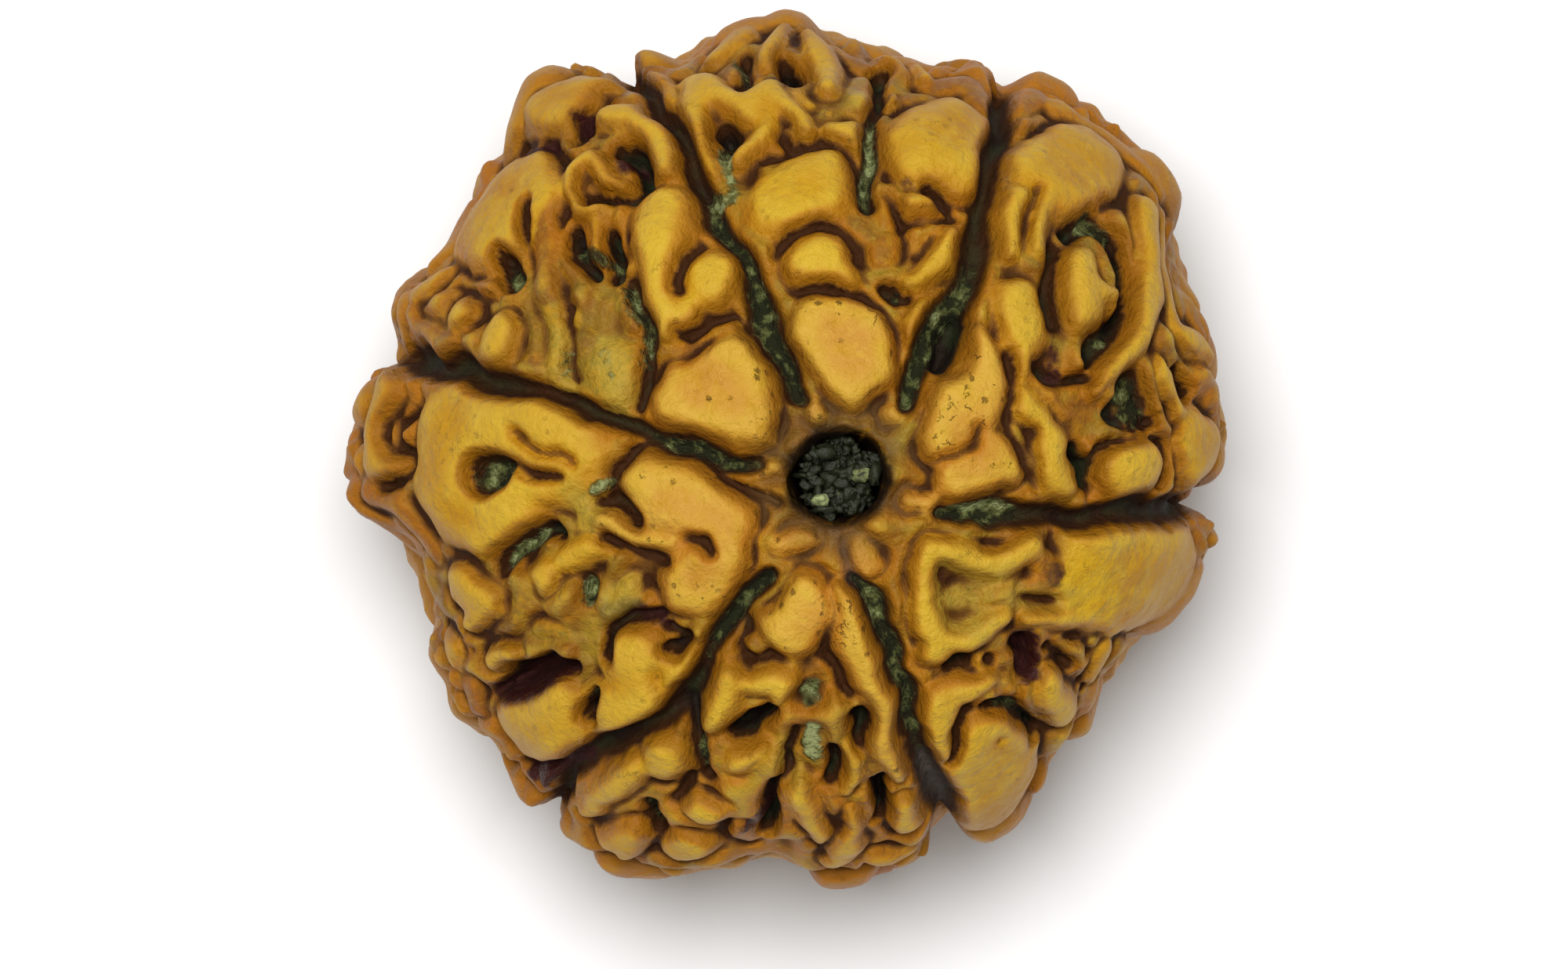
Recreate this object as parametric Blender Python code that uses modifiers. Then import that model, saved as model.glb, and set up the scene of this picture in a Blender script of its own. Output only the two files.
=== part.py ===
"""A six mukhi rudraksha: one woody fruit stone with six seams, standing on its worn lower pole.

Metres, +Z up along the natural bore. The origin is the middle of the bounding box's underside.
The upper half follows a picture taken straight down the bore, and its points are pixels of that picture.
The flanks and the lower half, which no picture shows, are grown by a seeded rule in the same manner.
"""

import math

import bmesh
import bpy
import numpy as np

MM = 0.001

# Driving dimensions of the stone
BEAD_WIDTH = 0.0240
HALF_HEIGHT = 0.0104
REST_BELOW_EQUATOR = 0.0101
BODY_POWER = 2.3
FLOOR_LEVEL = -0.42 * MM
LIMB_FILL = 0.18 * MM
LOWER_DEPTH = 0.24 * MM
DEEPEST_LEVEL = -2.2 * MM
CREASE_DEPTH = 0.42 * MM
CREASE_WIDTH = 0.13 * MM
DOME_POWER = 1.8
FULLNESS = 1.05
NARROWEST_CUT_PX = 8.5
SHOULDER_HEIGHT = 4.5 * MM
SEEN_STRETCH = np.array([1.0, 1.0, 0.5])
BORE_RADIUS = 0.0008
BORE_MOUTH_RADIUS = 0.0012
BORE_MOUTH_DEPTH = 0.0032
BLEND = 0.10 * MM

# How the picture maps to the stone
OUTLINE_WIDTH_PX = 1138.0
OUTLINE_CENTRE_PX = (1002.5, 573.0)
BORE_PX = (1068.0, 614.0)
PX = BEAD_WIDTH / OUTLINE_WIDTH_PX
BORE_XY = np.array([(BORE_PX[0] - OUTLINE_CENTRE_PX[0]) * PX, (OUTLINE_CENTRE_PX[1] - BORE_PX[1]) * PX])

# Mesh
SPHERE_LEVEL = 7
TRIANGLES = 10400

# The stone's edge seen from above, in pixels
OUTLINE = (
    (1000, 10), (1027, 14), (1048, 38), (1105, 62), (1152, 66), (1182, 82), (1215, 80), (1245, 73),
    (1264, 84), (1285, 104), (1322, 93), (1352, 104), (1400, 140), (1450, 175), (1490, 214), (1508, 250),
    (1503, 330), (1514, 372), (1538, 403), (1562, 460), (1563, 522), (1571, 570), (1567, 606), (1536, 634),
    (1553, 662), (1557, 692), (1545, 732), (1524, 772), (1494, 799), (1432, 830), (1418, 866), (1398, 898),
    (1386, 936), (1346, 980), (1318, 1034), (1290, 1069), (1260, 1085), (1236, 1079), (1208, 1054),
    (1191, 1068), (1183, 1102), (1142, 1130), (1092, 1137), (1046, 1136), (1022, 1106), (990, 1082),
    (966, 1092), (940, 1112), (908, 1116), (865, 1137), (822, 1128), (780, 1122), (744, 1099), (702, 1052),
    (665, 1042), (650, 1008), (628, 958), (580, 920), (566, 884), (541, 846), (551, 800), (545, 760),
    (529, 718), (505, 690), (468, 671), (435, 655), (434, 570), (446, 518), (462, 472), (500, 440),
    (491, 400), (497, 376), (562, 322), (587, 288), (608, 234), (638, 186), (652, 146), (668, 106),
    (698, 84), (728, 77), (788, 88), (800, 70), (828, 66), (862, 79), (886, 70), (906, 44), (938, 28),
)

# The six seams, from the hole to the edge: x, y, half width
SEAMS = (
    ((1012, 512, 12), (1000, 475, 17), (985, 430, 19), (966, 385, 18), (948, 340, 11), (934, 308, 12),
     (905, 280, 15), (888, 235, 12), (876, 190, 10), (854, 152, 11), (820, 112, 13), (794, 82, 15)),
    ((1150, 524, 13), (1163, 485, 18), (1185, 440, 18), (1214, 398, 20), (1240, 352, 20), (1246, 308, 16),
     (1256, 262, 13), (1270, 215, 14), (1281, 160, 17), (1288, 108, 17)),
    ((1208, 656, 11), (1258, 656, 17), (1310, 663, 18), (1360, 666, 15), (1412, 661, 15), (1470, 656, 18),
     (1520, 650, 21), (1555, 646, 20)),
    ((1096, 746, 10), (1114, 776, 15), (1130, 812, 16), (1146, 852, 15), (1160, 890, 13), (1164, 930, 12),
     (1173, 970, 14), (1190, 1004, 19), (1203, 1036, 21), (1208, 1062, 20)),
    ((978, 742, 12), (946, 775, 15), (920, 810, 13), (899, 842, 11), (880, 876, 12), (864, 906, 17),
     (830, 930, 14), (790, 954, 13), (750, 976, 15), (720, 1000, 16), (700, 1026, 14), (690, 1048, 14)),
    ((964, 597, 10), (930, 590, 13), (880, 576, 15), (830, 564, 13), (782, 544, 10), (730, 520, 10),
     (680, 502, 12), (620, 488, 17), (570, 474, 18), (520, 460, 18), (470, 452, 18)),
)

# Broad worn tops: level in mm, shoulder in pixels, then the corners of the flat
PLATES = {
    "top almond": (0.0, 25, (1033, 404), (1070, 400), (1102, 415), (1117, 450), (1114, 484), (1095, 503),
                   (1075, 497), (1048, 464), (1034, 430)),
    "top step": (-0.05, 18, (1014, 346), (1044, 318), (1076, 334), (1079, 352), (1030, 353)),
    "top saddle": (-0.1, 20, (995, 236), (1035, 210), (1064, 216), (1070, 245), (1048, 264), (1013, 276),
                   (984, 292), (978, 268)),
    "top egg": (0.0, 30, (1166, 174), (1195, 150), (1230, 154), (1236, 190), (1226, 222), (1200, 210),
                (1160, 200)),
    "right shoulder": (0.0, 28, (1350, 198), (1382, 184), (1408, 194), (1410, 222), (1366, 236), (1336, 240)),
    "right spindle": (0.0, 17, (1298, 372), (1316, 396), (1320, 424), (1304, 450), (1288, 424), (1284, 404)),
    "right blade": (0.0, 21, (1216, 506), (1243, 498), (1262, 520), (1254, 556), (1238, 580), (1196, 582),
                    (1194, 548)),
    "right foot": (-0.05, 19, (1208, 608), (1244, 592), (1278, 576), (1288, 594), (1280, 610), (1226, 616)),
    "right cube": (0.0, 22, (1430, 600), (1464, 584), (1464, 618), (1432, 622)),
    "right edge knob": (0.0, 24, (1528, 560), (1548, 558), (1548, 598), (1530, 606)),
    "low lobe": (0.0, 26, (1384, 722), (1430, 716), (1500, 714), (1516, 736), (1482, 774), (1432, 784),
                 (1402, 764)),
    "low heart": (0.0, 28, (1256, 952), (1288, 956), (1308, 984), (1284, 1030), (1262, 1054), (1248, 1010)),
    "bottom pear": (0.0, 22, (984, 812), (1008, 786), (1034, 754), (1044, 790), (1030, 820), (1000, 824)),
    "left plate": (0.0, 24, (814, 614), (850, 611), (880, 620), (914, 648), (944, 672), (934, 708), (915, 748),
                   (892, 772), (872, 766), (890, 736), (908, 704), (884, 672), (836, 648)),
    "left upper ring": (0.0, 26, (548, 562), (600, 537), (655, 540), (734, 563), (750, 580), (724, 578),
                        (664, 566), (600, 572), (556, 598)),
    "left lower ring": (0.0, 24, (546, 604), (574, 604), (594, 652), (640, 652), (668, 648), (640, 672),
                        (610, 698), (582, 690), (556, 652)),
    "left lozenge": (0.0, 25, (655, 940), (690, 906), (713, 910), (714, 944), (690, 960)),
    "left antler": (0.0, 17, (808, 822), (820, 862), (830, 890), (800, 914), (768, 938), (776, 906),
                    (790, 876)),
    "upper left fan": (0.0, 19, (845, 520), (866, 486), (906, 462), (944, 444), (961, 490), (977, 530),
                       (974, 555), (930, 548), (880, 535)),
    "upper left tooth": (-0.05, 17, (884, 366), (921, 336), (925, 376), (892, 383)),
    "upper left slope": (0.0, 24, (640, 226), (686, 216), (694, 226), (664, 256), (652, 296), (622, 316),
                         (592, 330), (588, 308), (616, 266)),
    "upper left lobe": (-0.05, 23, (686, 136), (708, 112), (744, 107), (726, 122), (698, 150)),
    "upper left pad": (-0.4, 18, (756, 490), (775, 456), (796, 450), (796, 500), (776, 512)),
}

FLAT_PLATES = ("top almond", "right blade", "right foot", "bottom pear", "left plate", "upper left fan")

# Ridges and knobs: level in mm, then points along the crest as x, y, half width
RIDGES = {
    "top left cheek": (-0.3, (818, 88, 17), (845, 101, 21), (853, 116, 12)),
    "top brow": (0.0, (888, 108, 20), (915, 124, 22), (950, 140, 23), (984, 118, 19), (1005, 145, 18),
                 (1028, 168, 14)),
    "top brow left leg": (-0.1, (886, 122, 20), (887, 160, 19), (891, 200, 16), (900, 226, 12)),
    "top brow right leg": (-0.15, (978, 142, 20), (966, 176, 18), (950, 204, 14)),
    "top khaki tongue": (-0.8, (950, 214, 18), (936, 250, 19), (930, 282, 14)),
    "top crown left": (-0.1, (905, 74, 18), (928, 50, 22), (948, 38, 16)),
    "top crown middle": (-0.05, (980, 74, 13), (986, 48, 18), (1000, 28, 14)),
    "top crown right": (0.0, (1036, 45, 20), (1056, 85, 30), (1054, 112, 18)),
    "top sliver": (-0.4, (1015, 118, 9), (1033, 136, 9)),
    "top bar": (-0.15, (1064, 168, 17), (1084, 167, 18), (1085, 182, 13)),
    "top dull knob": (-0.5, (1072, 286, 17), (1106, 298, 14)),
    "top rim bead": (-0.1, (1165, 78, 14), (1180, 96, 12)),
    "top small bead": (-0.2, (1136, 126, 13)),
    "top rim bar": (-0.5, (1190, 102, 18), (1235, 94, 21), (1262, 122, 17)),
    "top rim link": (-0.5, (1080, 62, 14), (1104, 78, 12)),
    "top notch knob": (-0.1, (1153, 268, 17), (1177, 261, 18)),
    "top wedge": (-0.15, (1214, 302, 14), (1200, 330, 20), (1176, 356, 17), (1160, 363, 12)),
    "top wedge tip": (-0.2, (1184, 392, 10), (1167, 414, 14), (1158, 436, 9)),
    "top brown knob": (-0.4, (1132, 308, 15), (1130, 332, 16)),
    "top thread": (-0.6, (1098, 366, 8), (1130, 386, 8), (1152, 424, 8)),
    "right olive rim": (-0.35, (1302, 126, 22), (1326, 112, 18)),
    "right rim a": (-0.3, (1352, 128, 18), (1420, 164, 17), (1468, 206, 18), (1494, 240, 14)),
    "right shoulder tail": (-0.05, (1336, 252, 20), (1332, 280, 15), (1325, 318, 12)),
    "right finger": (-0.1, (1300, 256, 20), (1291, 290, 18), (1289, 320, 17)),
    "right nut": (0.0, (1376, 336, 25), (1382, 370, 32), (1386, 404, 24)),
    "right nut nub": (-0.1, (1404, 372, 18), (1424, 376, 9)),
    "right long ridge": (-0.05, (1462, 268, 24), (1471, 320, 22), (1473, 380, 21), (1464, 424, 18),
                         (1440, 452, 13), (1416, 484, 10), (1398, 506, 9)),
    "right rim b": (-0.35, (1496, 266, 12), (1490, 330, 12), (1498, 380, 14), (1510, 420, 16)),
    "right rim knob": (-0.05, (1522, 432, 24), (1546, 458, 17)),
    "right blade tip": (0.0, (1242, 424, 11), (1254, 454, 20), (1258, 500, 24), (1250, 545, 26)),
    "right spindle tail": (-0.1, (1303, 454, 14), (1302, 490, 9)),
    "right leg": (-0.1, (1302, 514, 18), (1330, 546, 17), (1344, 580, 21), (1352, 614, 29)),
    "right pit strut": (-0.2, (1488, 468, 13), (1500, 506, 13), (1512, 530, 15)),
    "right sunk knob": (-0.7, (1366, 506, 16)),
    "right sunk step": (-0.9, (1348, 440, 20), (1345, 476, 17)),
    "right sunk heel": (-0.9, (1380, 556, 15), (1402, 524, 14)),
    "low frame top": (0.0, (1186, 708, 20), (1225, 713, 25), (1264, 722, 27), (1292, 715, 22), (1322, 700, 13)),
    "low frame side": (0.0, (1176, 712, 20), (1173, 745, 20), (1182, 785, 20), (1188, 820, 22), (1193, 845, 16)),
    "low frame foot": (-0.05, (1190, 830, 20), (1225, 822, 18), (1260, 806, 15), (1282, 795, 10)),
    "low frame floor": (-0.9, (1234, 768, 22), (1226, 788, 16)),
    "low neck": (-0.35, (1328, 716, 15), (1344, 742, 17), (1324, 760, 17)),
    "low lobe bump": (0.08, (1388, 696, 14), (1414, 698, 12)),
    "low bar": (-0.1, (1306, 800, 12), (1350, 797, 15), (1398, 788, 18)),
    "low rim": (-0.3, (1454, 800, 17), (1420, 812, 12)),
    "low rim knob": (-0.3, (1412, 842, 18), (1404, 872, 16)),
    "low egg": (0.0, (1345, 883, 25), (1358, 914, 28)),
    "low elbow": (-0.05, (1196, 895, 18), (1235, 885, 18), (1264, 872, 14)),
    "low elbow leg": (0.0, (1200, 905, 22), (1201, 940, 23), (1205, 958, 15)),
    "low crumb": (-0.4, (1256, 846, 8), (1262, 864, 8)),
    "low crumb b": (-0.4, (1284, 878, 10), (1296, 892, 7)),
    "low sunk knob": (-0.6, (1280, 828, 17)),
    "bottom arm": (0.0, (1072, 756, 12), (1085, 790, 22), (1086, 830, 24), (1108, 868, 24), (1125, 896, 21),
                   (1126, 934, 18), (1131, 970, 18), (1146, 995, 12)),
    "bottom bean": (0.0, (934, 868, 21), (919, 903, 26), (908, 930, 21)),
    "bottom bean arm": (-0.1, (964, 880, 18), (992, 880, 20), (992, 905, 11)),
    "bottom leaf": (-0.1, (940, 980, 17), (968, 964, 14)),
    "bottom pearl": (0.0, (845, 975, 34)),
    "bottom pearl tail": (-0.1, (800, 990, 22), (772, 1018, 21), (742, 1044, 16)),
    "bottom knob": (-0.05, (888, 1040, 19), (910, 1042, 17)),
    "bottom left lobe": (0.0, (770, 1082, 22), (805, 1078, 26), (800, 1098, 20)),
    "bottom rim lobe": (0.0, (862, 1094, 27), (895, 1090, 20)),
    "bottom brown rim": (-0.5, (936, 1074, 18), (956, 1084, 14)),
    "bottom prong": (-0.15, (1086, 965, 12), (1086, 1000, 14), (1076, 1020, 10)),
    "bottom strip": (-0.2, (1020, 1010, 14), (1028, 1050, 18), (1044, 1080, 17)),
    "bottom apron": (-0.05, (1086, 1052, 14), (1086, 1090, 25), (1062, 1110, 20)),
    "bottom button": (0.0, (1155, 1036, 17), (1158, 1060, 23)),
    "bottom rim": (-0.2, (1120, 1110, 19), (1164, 1098, 16)),
    "bottom sunk bead": (-1.0, (1035, 895, 15)),
    "bottom pale bead": (-0.7, (1035, 950, 15), (1037, 974, 17)),
    "bottom brown step": (-0.6, (1060, 870, 15), (1040, 856, 14)),
    "bottom olive step": (-0.5, (1000, 856, 15), (975, 858, 13)),
    "left tongue": (-0.1, (760, 668, 13), (790, 680, 14), (825, 692, 14), (858, 702, 13)),
    "left pit lip": (-0.15, (650, 578, 9), (690, 590, 10), (716, 602, 7)),
    "left pit knob": (-0.3, (655, 614, 10), (672, 622, 14), (696, 630, 11)),
    "left khaki saddle": (-0.5, (738, 640, 18), (742, 668, 16)),
    "left pale chip": (-0.35, (760, 630, 11), (774, 618, 11)),
    "left rim": (-0.05, (488, 492, 19), (478, 522, 16), (464, 560, 21), (468, 594, 22), (490, 602, 13)),
    "left rim knob": (-0.35, (538, 496, 18), (556, 488, 12)),
    "left rim low": (-0.3, (458, 636, 19), (496, 652, 19), (522, 682, 17), (546, 714, 14)),
    "left hip": (-0.1, (582, 752, 28), (614, 774, 27), (598, 800, 16)),
    "left bead": (-0.05, (688, 740, 23), (690, 757, 15)),
    "left yellow ridge": (-0.2, (716, 724, 16), (746, 706, 20), (776, 700, 13)),
    "left khaki ridge": (-0.5, (802, 754, 15), (786, 776, 12)),
    "left sunk column": (-0.8, (736, 798, 18), (746, 834, 16)),
    "left sunk step": (-0.8, (838, 738, 17), (812, 726, 12)),
    "left antler foot": (0.0, (800, 905, 22), (770, 938, 15)),
    "left antler spur": (-0.2, (872, 835, 12), (862, 860, 14), (854, 884, 12)),
    "left small egg": (-0.05, (625, 850, 17), (646, 842, 17)),
    "left rim nub": (-0.25, (566, 826, 19), (574, 852, 16)),
    "left rim nub b": (-0.3, (592, 884, 16), (598, 914, 17)),
    "left low step": (-0.5, (684, 812, 12), (706, 810, 10)),
    "left low rim": (-0.4, (660, 1000, 16), (680, 1024, 14)),
    "left link": (-0.2, (742, 935, 12), (738, 950, 12)),
    "upper left tower": (0.0, (842, 272, 38), (846, 300, 40), (835, 350, 27), (846, 398, 22), (850, 430, 17)),
    "upper left tooth root": (-0.1, (872, 400, 18), (862, 426, 15)),
    "upper left arch": (0.0, (772, 156, 18), (805, 146, 20), (834, 165, 21), (848, 200, 21), (850, 226, 18)),
    "upper left hook": (-0.05, (728, 250, 12), (732, 222, 14), (752, 205, 14), (774, 225, 13), (790, 236, 8)),
    "upper left hook foot": (-0.1, (738, 264, 14), (768, 268, 10)),
    "upper left crest": (0.0, (682, 144, 23), (706, 118, 27), (750, 108, 18), (778, 107, 13)),
    "upper left brown fold": (-0.35, (698, 256, 14), (689, 292, 16), (687, 332, 14), (695, 380, 16)),
    "upper left khaki fold": (-0.45, (700, 396, 15), (706, 432, 15), (710, 470, 15)),
    "upper left pillar": (-0.4, (757, 285, 10), (758, 316, 7)),
    "upper left sunk step": (-0.65, (764, 388, 17), (770, 420, 14)),
    "upper left crumb": (-0.35, (727, 404, 11)),
    "upper left ball": (0.0, (640, 425, 25), (634, 444, 25)),
    "upper left twin": (-0.1, (592, 394, 19), (577, 411, 16)),
    "upper left rim": (-0.2, (520, 378, 16), (556, 350, 17)),
    "upper left rim low": (-0.25, (514, 402, 15), (526, 428, 17), (564, 440, 16)),
    "hole knuckle a": (-0.35, (1028, 517, 14), (1036, 536, 15)),
    "hole knuckle b": (-0.45, (1134, 536, 15)),
    "hole knuckle c": (-0.35, (1162, 643, 14), (1192, 640, 14)),
    "hole knuckle d": (-0.4, (1096, 698, 15), (1110, 726, 19)),
    "hole knuckle e": (-0.35, (1000, 704, 18), (1024, 690, 18)),
    "hole knuckle f": (-0.35, (966, 608, 13), (990, 596, 14)),
}

# Pits and creases: depth in mm, steepness, then points as x, y, half width
CUTS = {
    "top left pit": (2.2, 3, (922, 162, 10), (932, 170, 12), (930, 192, 10)),
    "top crown pit": (2.0, 3, (948, 62, 7), (952, 92, 13), (942, 102, 9)),
    "top crown pit b": (2.2, 3, (1000, 74, 9), (1005, 96, 15)),
    "top crown crease": (1.0, 2, (870, 92, 6), (900, 88, 6), (930, 104, 7), (945, 116, 8), (965, 104, 6)),
    "top saddle crease": (1.2, 2, (975, 206, 9), (1000, 200, 10), (1024, 182, 7), (1050, 178, 6), (1078, 190, 7),
                          (1092, 210, 7)),
    "top saddle pit": (1.6, 2, (995, 182, 7), (1005, 196, 9)),
    "top step crease": (1.2, 2, (985, 332, 9), (1012, 302, 7), (1044, 288, 6), (1072, 298, 6), (1096, 318, 6)),
    "top almond crease": (1.1, 2, (1000, 372, 6), (1030, 370, 6), (1080, 378, 6), (1120, 392, 6), (1142, 420, 7),
                          (1148, 460, 7)),
    "top grey gutter": (1.6, 3, (1124, 84, 15), (1122, 130, 12), (1110, 172, 14), (1106, 216, 15),
                        (1104, 262, 13)),
    "top notch crease": (1.3, 2, (1128, 246, 6), (1150, 292, 7), (1176, 292, 7), (1200, 280, 8), (1226, 272, 7)),
    "top notch pit": (1.4, 2, (1186, 240, 8), (1200, 258, 10), (1210, 268, 9)),
    "top wedge pit": (1.9, 3, (1124, 368, 9), (1144, 376, 13), (1162, 380, 8)),
    "top wedge spot": (1.0, 2, (1162, 330, 8)),
    "right wall pit": (2.4, 3, (1226, 404, 12), (1212, 438, 22), (1204, 464, 16)),
    "right shoulder fold": (0.9, 2, (1320, 246, 7), (1314, 280, 7), (1310, 320, 7)),
    "right rim fold": (1.0, 2, (1296, 180, 10), (1320, 172, 9), (1345, 152, 8)),
    "right upper pit": (2.4, 3, (1366, 292, 11), (1400, 281, 16), (1425, 304, 15), (1438, 344, 12)),
    "right side pit": (2.3, 3, (1441, 356, 11), (1438, 398, 11), (1414, 438, 18), (1398, 462, 13)),
    "right nut gap": (1.6, 2, (1350, 312, 8), (1338, 345, 8), (1342, 390, 9), (1352, 420, 10)),
    "right big pit": (2.6, 3, (1450, 488, 18), (1456, 516, 27), (1430, 536, 15), (1474, 540, 14)),
    "right rim pit": (2.2, 3, (1527, 482, 13), (1535, 504, 13)),
    "right low pit": (2.1, 3, (1376, 580, 9), (1396, 596, 13), (1394, 620, 8)),
    "right sunk gap": (1.8, 2, (1330, 470, 10), (1350, 488, 9), (1392, 484, 10)),
    "right blade crease": (0.9, 2, (1286, 512, 5), (1292, 548, 5), (1306, 590, 6), (1322, 626, 6)),
    "right foot crease": (0.55, 2, (1180, 592, 5), (1214, 594, 5), (1240, 580, 5), (1248, 552, 4)),
    "right leg spot": (1.0, 2, (1322, 560, 8)),
    "right cube gap": (1.4, 2, (1402, 648, 7), (1396, 612, 8), (1410, 572, 9), (1462, 556, 7), (1492, 566, 7),
                       (1492, 620, 8)),
    "low bar crease": (0.7, 2, (1424, 806, 6), (1410, 814, 6), (1370, 818, 7)),
    "low frame crease": (0.6, 2, (1206, 736, 7), (1230, 748, 6), (1262, 762, 7), (1290, 750, 6), (1312, 728, 6)),
    "low neck gap": (1.2, 2, (1300, 776, 9), (1330, 770, 10), (1352, 772, 8)),
    "low eye pit": (2.0, 3, (1212, 862, 7), (1232, 851, 12)),
    "low eye spot": (1.7, 3, (1268, 850, 8)),
    "low gutter": (2.1, 3, (1266, 908, 9), (1290, 913, 13), (1312, 928, 11), (1330, 948, 8)),
    "low shade pit": (2.0, 2, (1308, 834, 17), (1312, 866, 15)),
    "low shade crease": (1.4, 2, (1340, 836, 10), (1372, 856, 8), (1392, 888, 6)),
    "low rim crease": (1.2, 2, (1366, 822, 8), (1386, 826, 9), (1392, 846, 6)),
    "low heart spot": (0.35, 2, (1274, 948, 10)),
    "low heart crease": (1.1, 2, (1236, 912, 6), (1226, 944, 6), (1216, 976, 7)),
    "bottom dark pit": (2.2, 3, (932, 950, 7), (960, 930, 12), (984, 925, 11)),
    "bottom seam spur": (1.7, 3, (870, 908, 13), (880, 944, 10), (892, 974, 12), (900, 1002, 13)),
    "bottom pearl gap": (1.5, 2, (880, 1004, 9), (866, 1020, 7), (850, 1030, 7)),
    "bottom olive pit": (1.9, 3, (822, 1040, 11), (828, 1070, 13)),
    "bottom right pit": (2.2, 3, (1122, 1008, 11), (1128, 1030, 11), (1124, 1062, 9)),
    "bottom prong pit": (2.0, 3, (1060, 968, 8), (1054, 1008, 10)),
    "bottom arm pit": (2.0, 3, (1084, 922, 10), (1100, 940, 13), (1096, 958, 8)),
    "bottom arm crease": (1.2, 2, (1052, 846, 8), (1070, 868, 8), (1080, 896, 9)),
    "bottom bean crease": (1.3, 2, (955, 800, 9), (940, 822, 8), (960, 846, 7), (990, 850, 6)),
    "bottom lobe gap": (2.0, 3, (985, 1012, 10), (984, 1046, 15), (976, 1076, 12)),
    "bottom brown gap": (1.3, 2, (926, 1060, 9), (920, 1082, 9)),
    "bottom apron crease": (0.8, 2, (1066, 1056, 5), (1060, 1086, 5), (1048, 1106, 5)),
    "bottom pale gap": (1.7, 2, (1010, 940, 8), (1008, 985, 8), (1000, 1010, 8)),
    "left ring pit": (2.6, 3, (610, 612, 22), (634, 608, 19)),
    "left ring crease": (0.6, 2, (655, 556, 7), (682, 572, 7), (712, 580, 7), (730, 600, 6)),
    "left lip crease": (0.9, 2, (650, 600, 6), (690, 606, 6), (716, 618, 6)),
    "left branch": (1.4, 2, (862, 572, 7), (826, 572, 9), (800, 584, 9), (782, 608, 9), (776, 640, 8)),
    "left plate crease": (1.3, 2, (862, 578, 7), (890, 590, 7), (920, 612, 7), (952, 634, 7), (988, 650, 7)),
    "left notch": (0.7, 2, (876, 690, 6), (898, 700, 10), (904, 716, 6)),
    "left tongue gap": (1.7, 2, (752, 650, 9), (790, 650, 8), (812, 662, 6)),
    "left tongue under": (1.3, 2, (770, 694, 6), (800, 704, 7), (830, 716, 9), (850, 728, 9)),
    "left crescent pit": (2.2, 3, (636, 738, 12), (645, 714, 14), (662, 694, 13), (692, 684, 13), (708, 688, 10)),
    "left column pit": (1.8, 3, (740, 752, 15), (746, 776, 11)),
    "left rim gap": (1.6, 2, (515, 524, 7), (498, 548, 10), (496, 576, 8), (520, 592, 6), (516, 610, 8),
                     (500, 624, 9), (476, 622, 7)),
    "left hip crease": (0.9, 2, (548, 716, 6), (590, 726, 6), (624, 738, 7)),
    "left hip under": (1.0, 2, (552, 796, 7), (590, 816, 7), (640, 822, 7), (690, 790, 8)),
    "left dark valley": (2.3, 3, (618, 902, 12), (652, 876, 17), (698, 858, 20), (724, 860, 12)),
    "left antler gap": (1.8, 2, (764, 850, 8), (778, 816, 9), (800, 792, 9), (838, 790, 10)),
    "left antler pit": (1.9, 2, (846, 806, 10), (872, 815, 10), (844, 836, 8)),
    "left small pit": (2.0, 3, (756, 892, 8), (748, 922, 11)),
    "left nub spot": (1.0, 2, (592, 836, 8)),
    "left low gap": (1.6, 2, (640, 984, 9), (672, 990, 8), (712, 982, 8)),
    "upper left pit": (2.6, 3, (640, 340, 22), (644, 356, 22)),
    "upper left heart pit": (2.3, 3, (784, 186, 11), (810, 190, 14), (814, 214, 12), (812, 238, 8)),
    "upper left slit": (1.8, 3, (808, 244, 7), (780, 250, 7), (752, 252, 7)),
    "upper left twin pit": (2.3, 3, (724, 292, 11), (728, 322, 17), (746, 346, 14)),
    "upper left twin pit b": (2.2, 3, (776, 300, 8), (785, 330, 13), (776, 350, 12)),
    "upper left dark wedge": (2.0, 3, (766, 132, 8), (742, 150, 14), (730, 172, 11)),
    "upper left edge crease": (1.4, 2, (650, 186, 11), (672, 176, 7), (700, 186, 6), (722, 198, 7)),
    "upper left tower crease": (1.0, 2, (898, 312, 7), (874, 340, 6), (864, 374, 5)),
    "upper left fan crease": (1.3, 2, (862, 424, 6), (900, 412, 6), (944, 404, 7), (958, 420, 7)),
    "upper left arch crease": (0.9, 2, (868, 236, 6), (840, 232, 5), (824, 240, 6)),
    "upper left pad crease": (1.8, 2, (795, 362, 8), (815, 400, 8), (827, 440, 8), (832, 468, 9), (818, 496, 8),
                              (808, 532, 8)),
    "upper left khaki crease": (1.2, 2, (718, 392, 6), (722, 450, 6), (728, 496, 6)),
    "upper left fold crease": (0.9, 2, (672, 262, 6), (668, 300, 6), (672, 360, 6), (680, 400, 7)),
    "upper left ball crease": (1.0, 2, (616, 400, 6), (602, 420, 6), (590, 432, 6)),
    "upper left rim crease": (0.9, 2, (500, 376, 7), (556, 372, 6), (600, 370, 7), (628, 384, 8)),
}

# Growth of the unseen flanks and lower half
GROWTH_SEED = 11
GROWTH_TRIES = 5200
GROWTH_TOP_COLATITUDE = math.radians(79)
GROWTH_LOW_COLATITUDE = math.radians(157)
LARGE_KNOB_RADIUS = (0.72 * MM, 1.20 * MM)
SMALL_KNOB_RADIUS = (0.34 * MM, 0.62 * MM)
EDGE_LOBE_RADIUS = 1.18 * MM
KNOB_GAP = -0.04 * MM
LOWER_SEAM_HALF_WIDTH_MM = 0.38


def polar(x, y):
    """Distance from the bore and azimuth of points given across the bore, in metres."""
    dx = x - BORE_XY[0]
    dy = y - BORE_XY[1]
    return np.hypot(dx, dy), np.arctan2(dy, dx)


def picture_to_plan(points):
    """Pixels of the picture to metres, seen from above."""
    points = np.asarray(points, float)
    return (points[:, 0] - OUTLINE_CENTRE_PX[0]) * PX, (OUTLINE_CENTRE_PX[1] - points[:, 1]) * PX


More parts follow.
